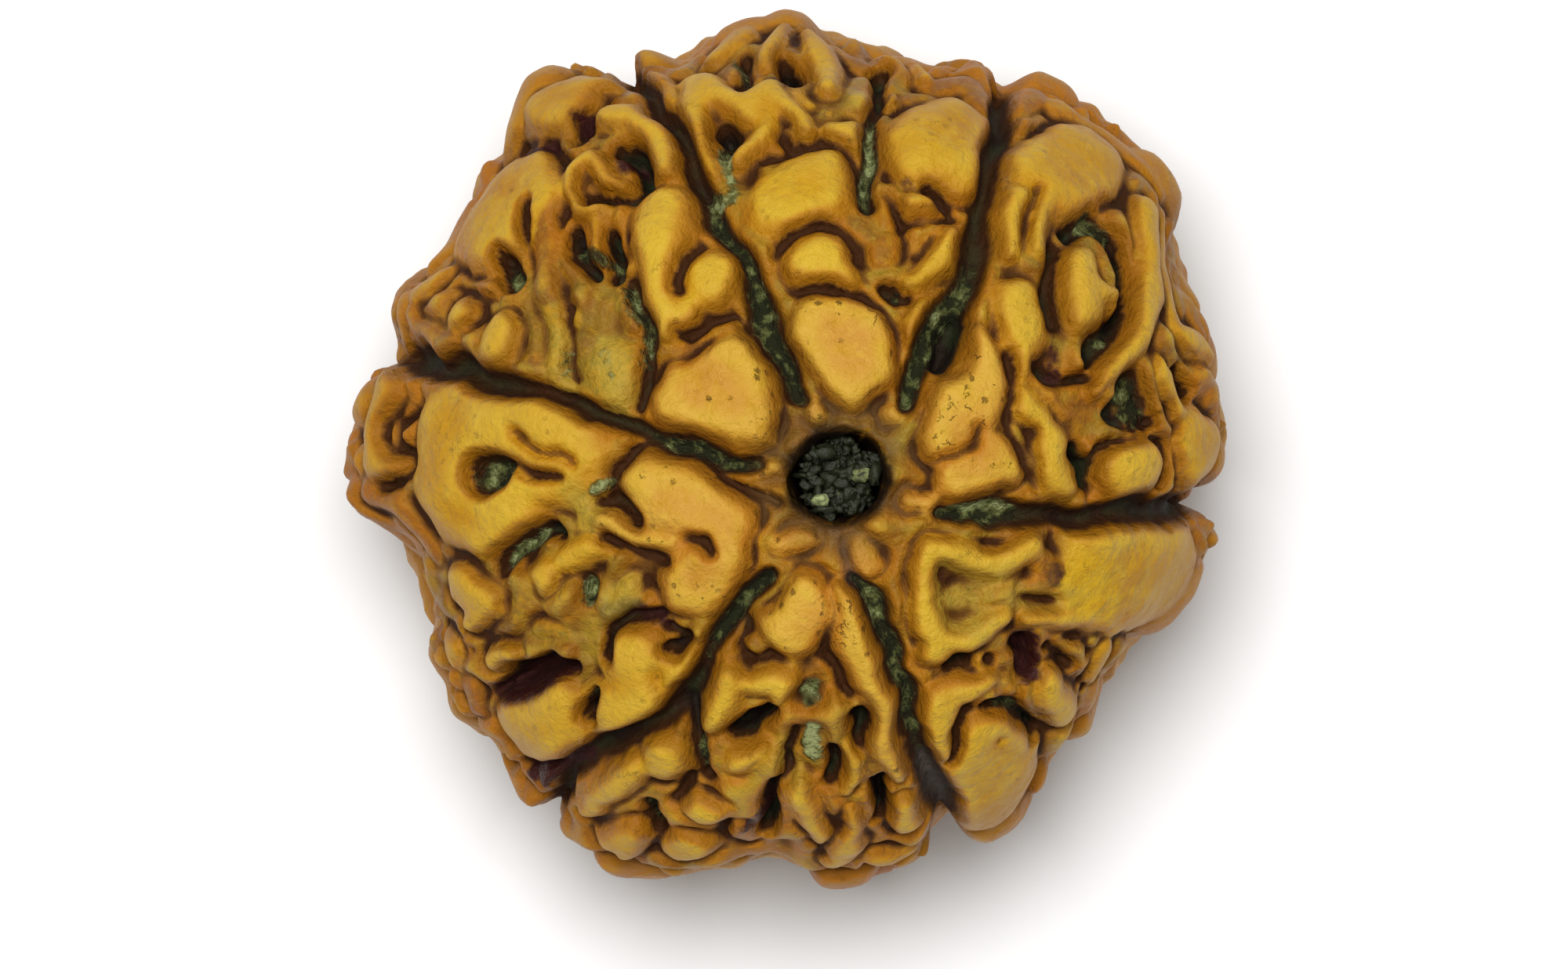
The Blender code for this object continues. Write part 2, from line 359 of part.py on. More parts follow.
def outline_tables(samples=720, harmonics=5):
    """The edge's radius round the bore by azimuth, as a smooth part and the small lobes on it."""
    radius, azimuth = polar(*picture_to_plan(OUTLINE))
    order = np.argsort(azimuth)
    grid = np.linspace(-math.pi, math.pi, samples, endpoint=False)
    whole = np.interp(grid, azimuth[order], radius[order], period=2 * math.pi)
    spectrum = np.fft.rfft(whole)
    spectrum[harmonics + 1:] = 0
    smooth = np.fft.irfft(spectrum, samples)
    kernel = np.hanning(9)
    lobes = whole - smooth
    padded = np.concatenate([lobes[-4:], lobes, lobes[:4]])
    return grid, smooth, np.convolve(padded, kernel / kernel.sum(), "valid")


GRID, SMOOTH_EDGE, EDGE_LOBES = outline_tables()


def body_radius(colatitude, azimuth):
    """Distance from the stone's centre to its outer hull in a direction."""
    edge = np.interp(azimuth, GRID, SMOOTH_EDGE, period=2 * math.pi)
    lobe = np.interp(azimuth, GRID, EDGE_LOBES, period=2 * math.pi)
    across = (np.sin(colatitude) / edge) ** BODY_POWER
    along = (np.abs(np.cos(colatitude)) / HALF_HEIGHT) ** BODY_POWER
    near_edge = np.exp(-(((colatitude - math.radians(86)) / math.radians(17)) ** 2))
    return (across + along) ** (-1 / BODY_POWER) + lobe * near_edge


def direction(colatitude, azimuth):
    return np.stack([np.sin(colatitude) * np.cos(azimuth), np.sin(colatitude) * np.sin(azimuth),
                     np.cos(colatitude)], axis=-1)


def body_point(colatitude, azimuth):
    """A point of the outer hull, measured from the stone's centre on the bore."""
    return direction(colatitude, azimuth) * body_radius(colatitude, azimuth)[..., None]


def lift(points):
    """Pixels of the picture to points of the hull's upper half."""
    radius, azimuth = polar(*picture_to_plan(points))
    low = np.zeros(len(radius))
    high = np.full(len(radius), math.radians(90))
    for _ in range(30):
        middle = (low + high) / 2
        inside = body_radius(middle, azimuth) * np.sin(middle) < radius
        low = np.where(inside, middle, low)
        high = np.where(inside, high, middle)
    return body_point((low + high) / 2, azimuth)


def seams_below():
    """The seams go on from the edge to the lower pole, each swaying a little: points, half widths."""
    found = []
    for number, seam in enumerate(SEAMS):
        end = lift([seam[-1][:2]])[0]
        start_azimuth = math.atan2(end[1], end[0])
        colatitude = np.radians(np.linspace(88, 171, 16))
        share = np.linspace(0, 1, 16)
        sway = math.radians(9) * np.sin(share * (4.2 + 0.7 * number) + 0.4) * np.sin(share * math.pi) ** 0.6
        side = 1 if number % 2 else -1
        drift = math.radians(7) * side * np.minimum(1, share * 5)
        points = body_point(colatitude, start_azimuth + drift + sway)
        widths = LOWER_SEAM_HALF_WIDTH_MM * MM * (1 + 0.35 * np.sin(share * 9 + number))
        found.append((points, widths))
    return found


def facet_azimuths(seams):
    """The seams' azimuths near the lower pole, in order round it."""
    return sorted(math.atan2(points[-1][1], points[-1][0]) for points, _ in seams)


def lower_plates(seams):
    """A worn plate in each of the six facets round the lower pole: level, shoulder, corners."""
    azimuths = facet_azimuths(seams)
    found = []
    for here, after in zip(azimuths, azimuths[1:] + [azimuths[0] + 2 * math.pi]):
        middle = (here + after) / 2
        half = (after - here) / 2
        spread = np.array([0.0, -0.30, -0.52, 0.0, 0.50, 0.34]) * half
        colatitude = math.pi - np.radians([11.5, 15, 24, 27, 23, 15])
        found.append((0.0, 0.42 * MM, body_point(colatitude, middle + spread)))
    return found


def edge_lobes():
    """Ridges that carry the stone's edge as seen from above, a little over or under the equator by turns."""
    seams = [lift([seam[-1][:2]])[0] for seam in SEAMS]
    run, found = [], []
    for number, corner in enumerate(OUTLINE):
        _, azimuth = polar(*picture_to_plan([corner]))
        colatitude = np.array([math.radians(91 + (6 if len(found) % 2 else -5) + 3 * math.sin(1.3 * number))])
        point = body_point(colatitude, azimuth)[0]
        clear = min(math.hypot(*(point - seam)[:2]) for seam in seams) > EDGE_LOBE_RADIUS * 0.62
        if clear:
            run.append(point)
        if run and (len(run) == 2 or not clear or corner == OUTLINE[-1]):
            level = (-0.06 - 0.06 * math.sin(1.7 * number)) * MM
            radius = EDGE_LOBE_RADIUS * (1 + 0.17 * math.sin(2.3 * number))
            found.append((level, np.array(run), np.full(len(run), radius), False, False))
            run = []
    return found


def grown_knobs(taken, taken_radii):
    """Knobs and short ridges thrown on the unseen part, each clear of what is there already."""
    random = np.random.default_rng(GROWTH_SEED)
    centres, radii = taken, taken_radii
    found = []

    def room(point, radius):
        return np.all(np.linalg.norm(centres - point, axis=1) > radii + radius + KNOB_GAP)

    for number in range(GROWTH_TRIES):
        large = number < GROWTH_TRIES * 0.7
        height = random.uniform(math.cos(GROWTH_LOW_COLATITUDE), math.cos(GROWTH_TOP_COLATITUDE))
        colatitude, azimuth = math.acos(height), random.uniform(-math.pi, math.pi)
        radius = random.uniform(*(LARGE_KNOB_RADIUS if large else SMALL_KNOB_RADIUS))
        heading = random.uniform(0, 2 * math.pi)
        points, widths = [], []
        for _ in range(random.integers(2, 6) if large else 1):
            point = body_point(np.array([colatitude]), np.array([azimuth]))[0]
            if not room(point, radius):
                break
            points.append(point)
            widths.append(radius)
            stride = radius * random.uniform(0.9, 1.5) / np.linalg.norm(point)
            heading += random.uniform(-0.7, 0.7)
            colatitude += stride * math.cos(heading)
            azimuth += stride * math.sin(heading) / max(math.sin(colatitude), 0.2)
            radius *= random.uniform(0.82, 1.12)
        if points:
            centres = np.vstack([centres, points])
            radii = np.append(radii, widths)
            level = -0.35 * MM * random.random() ** 2
            found.append((level, np.array(points), np.array(widths), False, False))
    return found


def waves(points, wavelength, seed, count=12):
    """Smooth seeded noise of about unit size."""
    random = np.random.default_rng(seed)
    ways = random.normal(size=(count, 3))
    ways /= np.linalg.norm(ways, axis=1)[:, None]
    ways *= (2 * math.pi / wavelength) * random.uniform(0.6, 1.4, count)[:, None]
    return np.sin(points @ ways.T + random.uniform(0, 2 * math.pi, count)).sum(1) / math.sqrt(count / 2)


def chain_share(points, line, widths):
    """Distance to a line of points as a share of its half width there, the least over its segments."""
    share = np.full(len(points), np.inf)
    if len(line) == 1:
        return np.linalg.norm(points - line[0], axis=1) / widths[0]
    for start, end, width, next_width in zip(line, line[1:], widths, widths[1:]):
        way = end - start
        along = np.clip((points - start) @ way / max(way @ way, 1e-18), 0, 1)
        gap = np.linalg.norm(points - start - along[:, None] * way, axis=1)
        share = np.minimum(share, gap / (width + (next_width - width) * along))
    return share


def inside_corners(points, corners):
    """Which points lie inside closed corners, seen along the hull's normal there."""
    middle = corners.mean(axis=0)
    normal = middle / np.linalg.norm(middle)
    across = np.cross(normal, [0.31, 0.83, 0.46])
    across /= np.linalg.norm(across)
    frame = np.stack([across, np.cross(normal, across)], axis=1)
    flat = (points - middle) @ frame
    ring = (corners - middle) @ frame
    inside = np.zeros(len(points), bool)
    for (ax, ay), (bx, by) in zip(ring, np.roll(ring, -1, axis=0)):
        if ay == by:
            continue
        crosses = (flat[:, 1] < ay) != (flat[:, 1] < by)
        inside ^= crosses & (flat[:, 0] < ax + (flat[:, 1] - ay) / (by - ay) * (bx - ax))
    return inside


def rounded(corners, shoulder, roundness):
    """A smaller flat with wider shoulders, for about the same edge: corners, half widths."""
    outward = corners - corners.mean(axis=0)
    return corners - outward * roundness, shoulder + np.linalg.norm(outward, axis=1) * roundness * 0.92


def near(points, line, reach):
    """Indices of the points within reach of a line's bounding ball."""
    middle = line.mean(axis=0)
    ball = np.linalg.norm(line - middle, axis=1).max() + reach
    return np.nonzero(np.linalg.norm(points - middle, axis=1) < ball)[0]


def smooth_max(a, b, width=BLEND):
    return np.maximum(a, b) + np.maximum(0, width - np.abs(a - b)) ** 2 / (4 * width)


def feature_share(points, line, widths, closed, seen, reach=0.6 * MM):
    """Which points lie near a knob, and how far each is from its crest as a share of the half width."""
    if seen:
        points, line = points * SEEN_STRETCH, line * SEEN_STRETCH
    index = near(points, line, widths.max() + reach)
    whole_line = np.vstack([line, line[:1]]) if closed else line
    whole_widths = np.append(widths, widths[0]) if closed else widths
    share = chain_share(points[index], whole_line, whole_widths)
    if closed:
        share[inside_corners(points[index], line)] = 0
    return index, share


def ground_level(points):
    """The floor between the knobs: fuller round the edge, lower on the lower half."""
    edge = np.exp(-(((points[:, 2] - 1.2 * MM) / (2.6 * MM)) ** 2))
    below = np.clip(-points[:, 2] / (3 * MM), 0, 1)
    return FLOOR_LEVEL + LIMB_FILL * edge - LOWER_DEPTH * below * below * (3 - 2 * below)


def grow(height, points, features):
    """Raises the knobs out of the floor, which dips into a crease round the foot of each."""
    foot = np.minimum(ground_level(points), FLOOR_LEVEL) - CREASE_DEPTH
    shares = [feature_share(points, *feature) for _, *feature in features]
    clearance = np.full(len(points), np.inf)
    for (index, share), (_, _, widths, _, _) in zip(shares, features):
        clearance[index] = np.minimum(clearance[index], (share - 1) * widths.mean())
    height -= CREASE_DEPTH * np.exp(-((np.maximum(clearance, 0) / CREASE_WIDTH) ** 2))
    for (index, share), (level, *_) in zip(shares, features):
        dome = np.clip(1 - share ** DOME_POWER, 0, 1) ** (1 / DOME_POWER)
        lifted = foot[index] + (level - foot[index]) * dome
        height[index] = np.where(share < 1, smooth_max(height[index], lifted), height[index])


def cut_line(height, points, depth, steepness, line, widths, seen=False):
    """A channel or pit down to its depth, opening out at the top."""
    if seen:
        points, line = points * SEEN_STRETCH, line * SEEN_STRETCH
    index = near(points, line, widths.max() * 1.6)
    share = chain_share(points[index], line, widths)
    level = -depth + (depth + 0.15 * MM) * share ** steepness
    height[index] = -smooth_max(-height[index], -level)


def relief(points):
    """Height of the surface over the hull at hull points, in metres."""
    warp = np.stack([waves(points, 1.7 * MM, 21 + axis) for axis in range(3)], axis=1) * 0.07 * MM
    fine_warp = np.stack([waves(points, 0.6 * MM, 31 + axis) for axis in range(3)], axis=1) * 0.02 * MM
    moved = points + warp + fine_warp
    height = ground_level(points) + 0.12 * MM * waves(points, 1.5 * MM, 41)
    features = []
    for name, (level, shoulder, *corners) in PLATES.items():
        roundness = 0.15 if name in FLAT_PLATES else 0.5
        top, widths = rounded(lift(corners), shoulder * PX * FULLNESS, roundness)
        features.append((level * MM, top, widths, True, True))
    for level, *crest in RIDGES.values():
        widths = np.array([point[2] for point in crest]) * PX * FULLNESS
        features.append((level * MM, lift([point[:2] for point in crest]), widths, False, True))
    lower = seams_below()
    for level, shoulder, line in lower_plates(lower):
        features.append((level, line, np.full(len(line), shoulder), True, False))
    features.extend(edge_lobes())

    taken = [line for _, line, *_ in features] + [line for line, _ in lower]
    radii = [widths for _, _, widths, *_ in features] + [widths * 0.8 for _, widths in lower]
    for seam in SEAMS:
        taken.append(lift([point[:2] for point in seam]))
        radii.append(np.array([point[2] for point in seam]) * PX)
    features.extend(grown_knobs(np.vstack(taken), np.concatenate(radii)))
    grow(height, moved, features)

    for depth, steepness, *pit in CUTS.values():
        line = lift([point[:2] for point in pit])
        widths = np.maximum([point[2] for point in pit], NARROWEST_CUT_PX) * PX
        cut_line(height, moved, depth * MM, steepness, line, widths, seen=True)
    for seam in SEAMS:
        line = lift([point[:2] for point in seam])
        widths = np.array([point[2] for point in seam]) * PX * 1.40
        cut_line(height, moved, 1.40 * MM, 3, line, widths, seen=True)
    for line, widths in lower:
        cut_line(height, moved, 1.35 * MM, 3, line, widths)
    for pole in (HALF_HEIGHT, -HALF_HEIGHT):
        cut_line(height, moved, 2.2 * MM, 2.4, np.array([[0, 0, pole]]), np.array([1.55 * MM]))

    height += 0.016 * MM * waves(points, 1.0 * MM, 51) + 0.05 * MM * waves(points, 2.6 * MM, 52)
    return np.maximum(height, DEEPEST_LEVEL)


def smoothed(values, edges, rounds, share=0.5):
    """Each value moved towards the mean of its neighbours."""
    count = np.bincount(edges.ravel(), minlength=len(values))
    for _ in range(rounds):
        total = np.bincount(edges[:, 0], values[edges[:, 1]], len(values))
        total += np.bincount(edges[:, 1], values[edges[:, 0]], len(values))
        values = values + share * (total / count - values)
    return values


def growth_way(ball, hull):
    """The way the relief stands: outward, and leaning up over the upper shoulder."""
    share = np.clip(hull[:, 2] / SHOULDER_HEIGHT, 0, 1)
    way = ball.copy()
    way[:, 2] += share * share * (3 - 2 * share)
    return way / np.linalg.norm(way, axis=1)[:, None]


def stone_surface(level=SPHERE_LEVEL, rounds=3):
    """The whole outside as a ball whose points are moved out to the hull and its relief."""
    bpy.ops.mesh.primitive_ico_sphere_add(subdivisions=level, radius=1)
    stone = bpy.context.object
    mesh = stone.data
    ball = np.empty(len(mesh.vertices) * 3)
    mesh.vertices.foreach_get("co", ball)
    ball = ball.reshape(-1, 3)
    ball /= np.linalg.norm(ball, axis=1)[:, None]
    edges = np.empty(len(mesh.edges) * 2, np.int32)
    mesh.edges.foreach_get("vertices", edges)
    colatitude = np.arccos(np.clip(ball[:, 2], -1, 1))
    azimuth = np.arctan2(ball[:, 1], ball[:, 0])
    hull = ball * body_radius(colatitude, azimuth)[:, None]
    height = smoothed(relief(hull), edges.reshape(-1, 2), rounds)
    centre = np.array([BORE_XY[0], BORE_XY[1], REST_BELOW_EQUATOR])
    mesh.vertices.foreach_set("co", (hull + growth_way(ball, hull) * height[:, None] + centre).ravel())
    mesh.update()
    return stone


def helper(obj, name, helpers):
    """Puts a cutter out of sight in its own collection."""
    obj.name = name
    obj.display_type = "WIRE"
    obj.hide_render = True
    for collection in list(obj.users_collection):
        collection.objects.unlink(obj)
    helpers.objects.link(obj)
    return obj


def bore_cutter(helpers):
    """The natural channel along the axis, flaring at both mouths: a turned profile."""
    top = REST_BELOW_EQUATOR + HALF_HEIGHT
    profile = (
        (0, top + BORE_MOUTH_DEPTH), (BORE_MOUTH_RADIUS * 1.9, top + BORE_MOUTH_DEPTH),
        (BORE_MOUTH_RADIUS, top - BORE_MOUTH_DEPTH * 0.5), (BORE_RADIUS, top - BORE_MOUTH_DEPTH * 1.5),
        (BORE_RADIUS, BORE_MOUTH_DEPTH * 1.4), (BORE_MOUTH_RADIUS, BORE_MOUTH_DEPTH * 0.5),
        (BORE_MOUTH_RADIUS * 1.2, -BORE_MOUTH_DEPTH), (0, -BORE_MOUTH_DEPTH),
    )
    mesh = bpy.data.meshes.new("bore_profile")
    mesh.from_pydata([(x, 0, z) for x, z in profile], [(i, i + 1) for i in range(len(profile) - 1)], [])
    cutter = bpy.data.objects.new("bore_profile", mesh)
    bpy.context.scene.collection.objects.link(cutter)
    cutter.location = (BORE_XY[0], BORE_XY[1], 0)
    turn = cutter.modifiers.new("turn", "SCREW")
    turn.steps = turn.render_steps = 14
    turn.use_merge_vertices = True
    turn.merge_threshold = 0.00001
    return helper(cutter, "bore_cutter", helpers)


def rest_cutter(helpers):
    """All that lies below the resting plane."""
    side = BEAD_WIDTH * 1.5
    bpy.ops.mesh.primitive_cube_add(size=side, location=(0, 0, -side / 2))
    return helper(bpy.context.object, "rest_cutter", helpers)


def stone_material():
    material = bpy.data.materials.new("stone")
    material.use_nodes = True
    shader = material.node_tree.nodes["Principled BSDF"]
    shader.inputs["Base Color"].default_value = (0.58, 0.33, 0.06, 1)
    shader.inputs["Roughness"].default_value = 0.5
    shader.inputs["Metallic"].default_value = 0.0
    return material


def centred(stone):
    """Moves the stone's mesh so that the middle of its bounding box's underside is the origin."""
    graph = bpy.context.evaluated_depsgraph_get()
    corners = np.array([tuple(corner) for corner in stone.evaluated_get(graph).bound_box])
    low, high = corners.min(axis=0), corners.max(axis=0)
    return np.array([(low[0] + high[0]) / 2, (low[1] + high[1]) / 2, low[2]])


def cut(stone, cutter, name):
    modifier = stone.modifiers.new(name, "BOOLEAN")
    modifier.operation = "DIFFERENCE"
    modifier.object = cutter


def main():
    for obj in list(bpy.data.objects):
        bpy.data.objects.remove(obj)
    parts = bpy.data.collections.new("six_mukhi_rudraksha")
    helpers = bpy.data.collections.new("cutters")
    bpy.context.scene.collection.children.link(parts)
    bpy.context.scene.collection.children.link(helpers)

    stone = stone_surface()
    stone.name = "rudraksha_stone"
    for collection in list(stone.users_collection):
        collection.objects.unlink(stone)
    parts.objects.link(stone)
    stone.data.materials.append(stone_material())
    stone.data.shade_smooth()

    thin = stone.modifiers.new("thin", "DECIMATE")
    thin.ratio = TRIANGLES / len(stone.data.polygons)
    bore = bore_cutter(helpers)
    cut(stone, bore, "bore")
    cut(stone, rest_cutter(helpers), "rest")
    bpy.context.view_layer.update()
    shift = centred(stone)
    stone.location = (-shift[0], -shift[1], 0)
    bore.location = (BORE_XY[0] - shift[0], BORE_XY[1] - shift[1], 0)


main()
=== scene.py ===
import math

import bmesh
import bpy
import numpy as np
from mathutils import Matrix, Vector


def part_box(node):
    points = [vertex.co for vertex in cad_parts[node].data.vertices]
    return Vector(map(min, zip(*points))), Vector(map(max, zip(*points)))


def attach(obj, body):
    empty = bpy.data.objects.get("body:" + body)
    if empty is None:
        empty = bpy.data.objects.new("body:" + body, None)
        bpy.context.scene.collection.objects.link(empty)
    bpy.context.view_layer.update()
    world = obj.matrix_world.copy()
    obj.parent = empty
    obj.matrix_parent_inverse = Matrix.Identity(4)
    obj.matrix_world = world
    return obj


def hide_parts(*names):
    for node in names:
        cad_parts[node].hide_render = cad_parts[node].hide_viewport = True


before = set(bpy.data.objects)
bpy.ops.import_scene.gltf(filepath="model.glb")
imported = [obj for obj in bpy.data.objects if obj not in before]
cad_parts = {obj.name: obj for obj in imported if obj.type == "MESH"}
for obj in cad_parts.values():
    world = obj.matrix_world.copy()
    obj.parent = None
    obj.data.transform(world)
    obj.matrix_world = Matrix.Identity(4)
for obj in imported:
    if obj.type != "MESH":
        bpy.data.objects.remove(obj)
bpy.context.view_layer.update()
mm = 0.001


# The stone's shape. Points in the tables are pixels of a picture taken straight down the bore
stone = {
    "width": 0.0240,
    "halfHeight": 0.0104,
    "restBelowEquator": 0.0101,
    "bodyPower": 2.3,  # 2 is an ellipsoid, more is squarer
    "floorLevel": -0.42 * mm,  # the ground between the knobs, under the hull
    "groundWaves": 0.12 * mm,
    "limbFill": 0.18 * mm,  # how much fuller that ground is round the edge
    "limbBand": (1.2 * mm, 2.6 * mm),  # height of that fuller band over the equator, and its spread
    "lowerDepth": 0.24 * mm,  # how much deeper the ground is on the lower half
    "lowerFall": 3 * mm,  # height over which it gets there
    "deepestLevel": -2.2 * mm,
    "creaseDepth": 0.42 * mm,  # at the foot of each knob
    "creaseWidth": 0.13 * mm,
    "domePower": 2.15,  # 2 is a round knob, more is flatter
    "fullness": 1.10,  # knobs against the half widths in the tables
    "narrowestCut": 8.5,  # half width in pixels
    "cutRise": 0.15 * mm,  # how far a cut's level climbs over the hull at its edge
    "blend": 0.10 * mm,  # how softly two forms meet
    "wander": 0.07 * mm,  # how far the forms stray from their lines
    "fineWander": 0.02 * mm,
    "ripples": ((0.016 * mm, 1.0 * mm, 51), (0.05 * mm, 2.6 * mm, 52)),  # height, wavelength, seed
    "unseenRipple": (0.035 * mm, 0.75 * mm, 53),
    "unseenBelow": (0.8 * mm, 2.2 * mm),  # where the less regular part starts, and how soon it is full
    "shoulderHeight": 4.5 * mm,  # where the relief leans up all the way
    "outlineWidthPx": 1138.0,
    "outlineCentrePx": (1002.5, 573.0),
    "borePx": (1068.0, 614.0),
    "seenStretch": (1.0, 1.0, 0.5),  # seen forms are measured mostly across the picture
    "seamDepth": 1.40 * mm,
    "seamFullness": 1.40,
    "seamGreenReach": (410, 330, 250, 380, 300, 260),  # how far out each seam's pulp stays green
    "lowerSeamDepth": 1.35 * mm,
    "lowerSeamWidth": 0.38 * mm,
    "lowerPlateShoulder": 0.42 * mm,
    "poleDish": (2.2 * mm, 1.55 * mm),  # depth and half width of the dip round the bore
    "pulpLevel": -1.30 * mm,  # where dried pulp fills a pit
    "boreRadius": 0.0011,
    "boreRim": (2.9 * mm, 1.75 * mm),  # where the darker rim round the bore starts, partly painted shade, and its width
    "edgeLobe": 1.18 * mm,
    "edgeLobeTilt": (86, 17),  # colatitude of the outline's lobes and their spread, in degrees
    "growthSeed": 11,
    "growthTries": 5200,
    "growthLarge": 0.7,  # share of the tries that throw large knobs
    "growthTop": 79,  # grown knobs lie between these colatitudes, in degrees
    "growthLow": 157,
    "largeKnob": (0.72 * mm, 1.20 * mm),  # range of half widths
    "smallKnob": (0.34 * mm, 0.62 * mm),
    "knobGap": -0.04 * mm,  # grown knobs may overlap by this much
    "sphereLevel": 8,
    "triangles": 190000,
}
creaseMasks = {  # rounds of smoothing, the depth that counts as 1, the most
    "fineCrease": (16, 0.10 * mm, 1),
    "wideCrease": (110, 0.40 * mm, 1.5),
}
boreWaves = (  # lobes round the channel, their size, turn and twist per metre
    (2, 0.08, 0.6, 0),
    (3, 0.07, 0, 900),
    (5, 0.06, 1.3, -1500),
    (9, 0.03, 0, 2100),
)
px = stone["width"] / stone["outlineWidthPx"]
boreXy = np.array([(stone["borePx"][0] - stone["outlineCentrePx"][0]) * px,
                   (stone["outlineCentrePx"][1] - stone["borePx"][1]) * px])

# The outline seen from above
outline = (
    (1000, 10), (1027, 14), (1048, 38), (1105, 62), (1152, 66), (1182, 82), (1215, 80), (1245, 73),
    (1264, 84), (1285, 104), (1322, 93), (1352, 104), (1400, 140), (1450, 175), (1490, 214), (1508, 250),
    (1503, 330), (1514, 372), (1538, 403), (1562, 460), (1563, 522), (1571, 570), (1567, 606), (1536, 634),
    (1553, 662), (1557, 692), (1545, 732), (1524, 772), (1494, 799), (1432, 830), (1418, 866), (1398, 898),
    (1386, 936), (1346, 980), (1318, 1034), (1290, 1069), (1260, 1085), (1236, 1079), (1208, 1054),
    (1191, 1068), (1183, 1102), (1142, 1130), (1092, 1137), (1046, 1136), (1022, 1106), (990, 1082),
    (966, 1092), (940, 1112), (908, 1116), (865, 1137), (822, 1128), (780, 1122), (744, 1099), (702, 1052),
    (665, 1042), (650, 1008), (628, 958), (580, 920), (566, 884), (541, 846), (551, 800), (545, 760),
    (529, 718), (505, 690), (468, 671), (435, 655), (434, 570), (446, 518), (462, 472), (500, 440),
    (491, 400), (497, 376), (562, 322), (587, 288), (608, 234), (638, 186), (652, 146), (668, 106),
    (698, 84), (728, 77), (788, 88), (800, 70), (828, 66), (862, 79), (886, 70), (906, 44), (938, 28),
)

# The six seams from the bore to the edge: x, y, half width
seams = (
    ((1012, 512, 12), (1000, 475, 17), (985, 430, 19), (966, 385, 18), (948, 340, 11), (934, 308, 12),
     (905, 280, 15), (888, 235, 12), (876, 190, 10), (854, 152, 11), (820, 112, 13), (794, 82, 15)),
    ((1150, 524, 13), (1163, 485, 18), (1185, 440, 18), (1214, 398, 20), (1240, 352, 20), (1246, 308, 16),
     (1256, 262, 13), (1270, 215, 14), (1281, 160, 17), (1288, 108, 17)),
    ((1208, 656, 11), (1258, 656, 17), (1310, 663, 18), (1360, 666, 15), (1412, 661, 15), (1470, 656, 18),
     (1520, 650, 21), (1555, 646, 20)),
    ((1096, 746, 10), (1114, 776, 15), (1130, 812, 16), (1146, 852, 15), (1160, 890, 13), (1164, 930, 12),
     (1173, 970, 14), (1190, 1004, 19), (1203, 1036, 21), (1208, 1062, 20)),
    ((978, 742, 12), (946, 775, 15), (920, 810, 13), (899, 842, 11), (880, 876, 12), (864, 906, 17),
     (830, 930, 14), (790, 954, 13), (750, 976, 15), (720, 1000, 16), (700, 1026, 14), (690, 1048, 14)),
    ((964, 597, 10), (930, 590, 13), (880, 576, 15), (830, 564, 13), (782, 544, 10), (730, 520, 10),
     (680, 502, 12), (620, 488, 17), (570, 474, 18), (520, 460, 18), (470, 452, 18)),
)

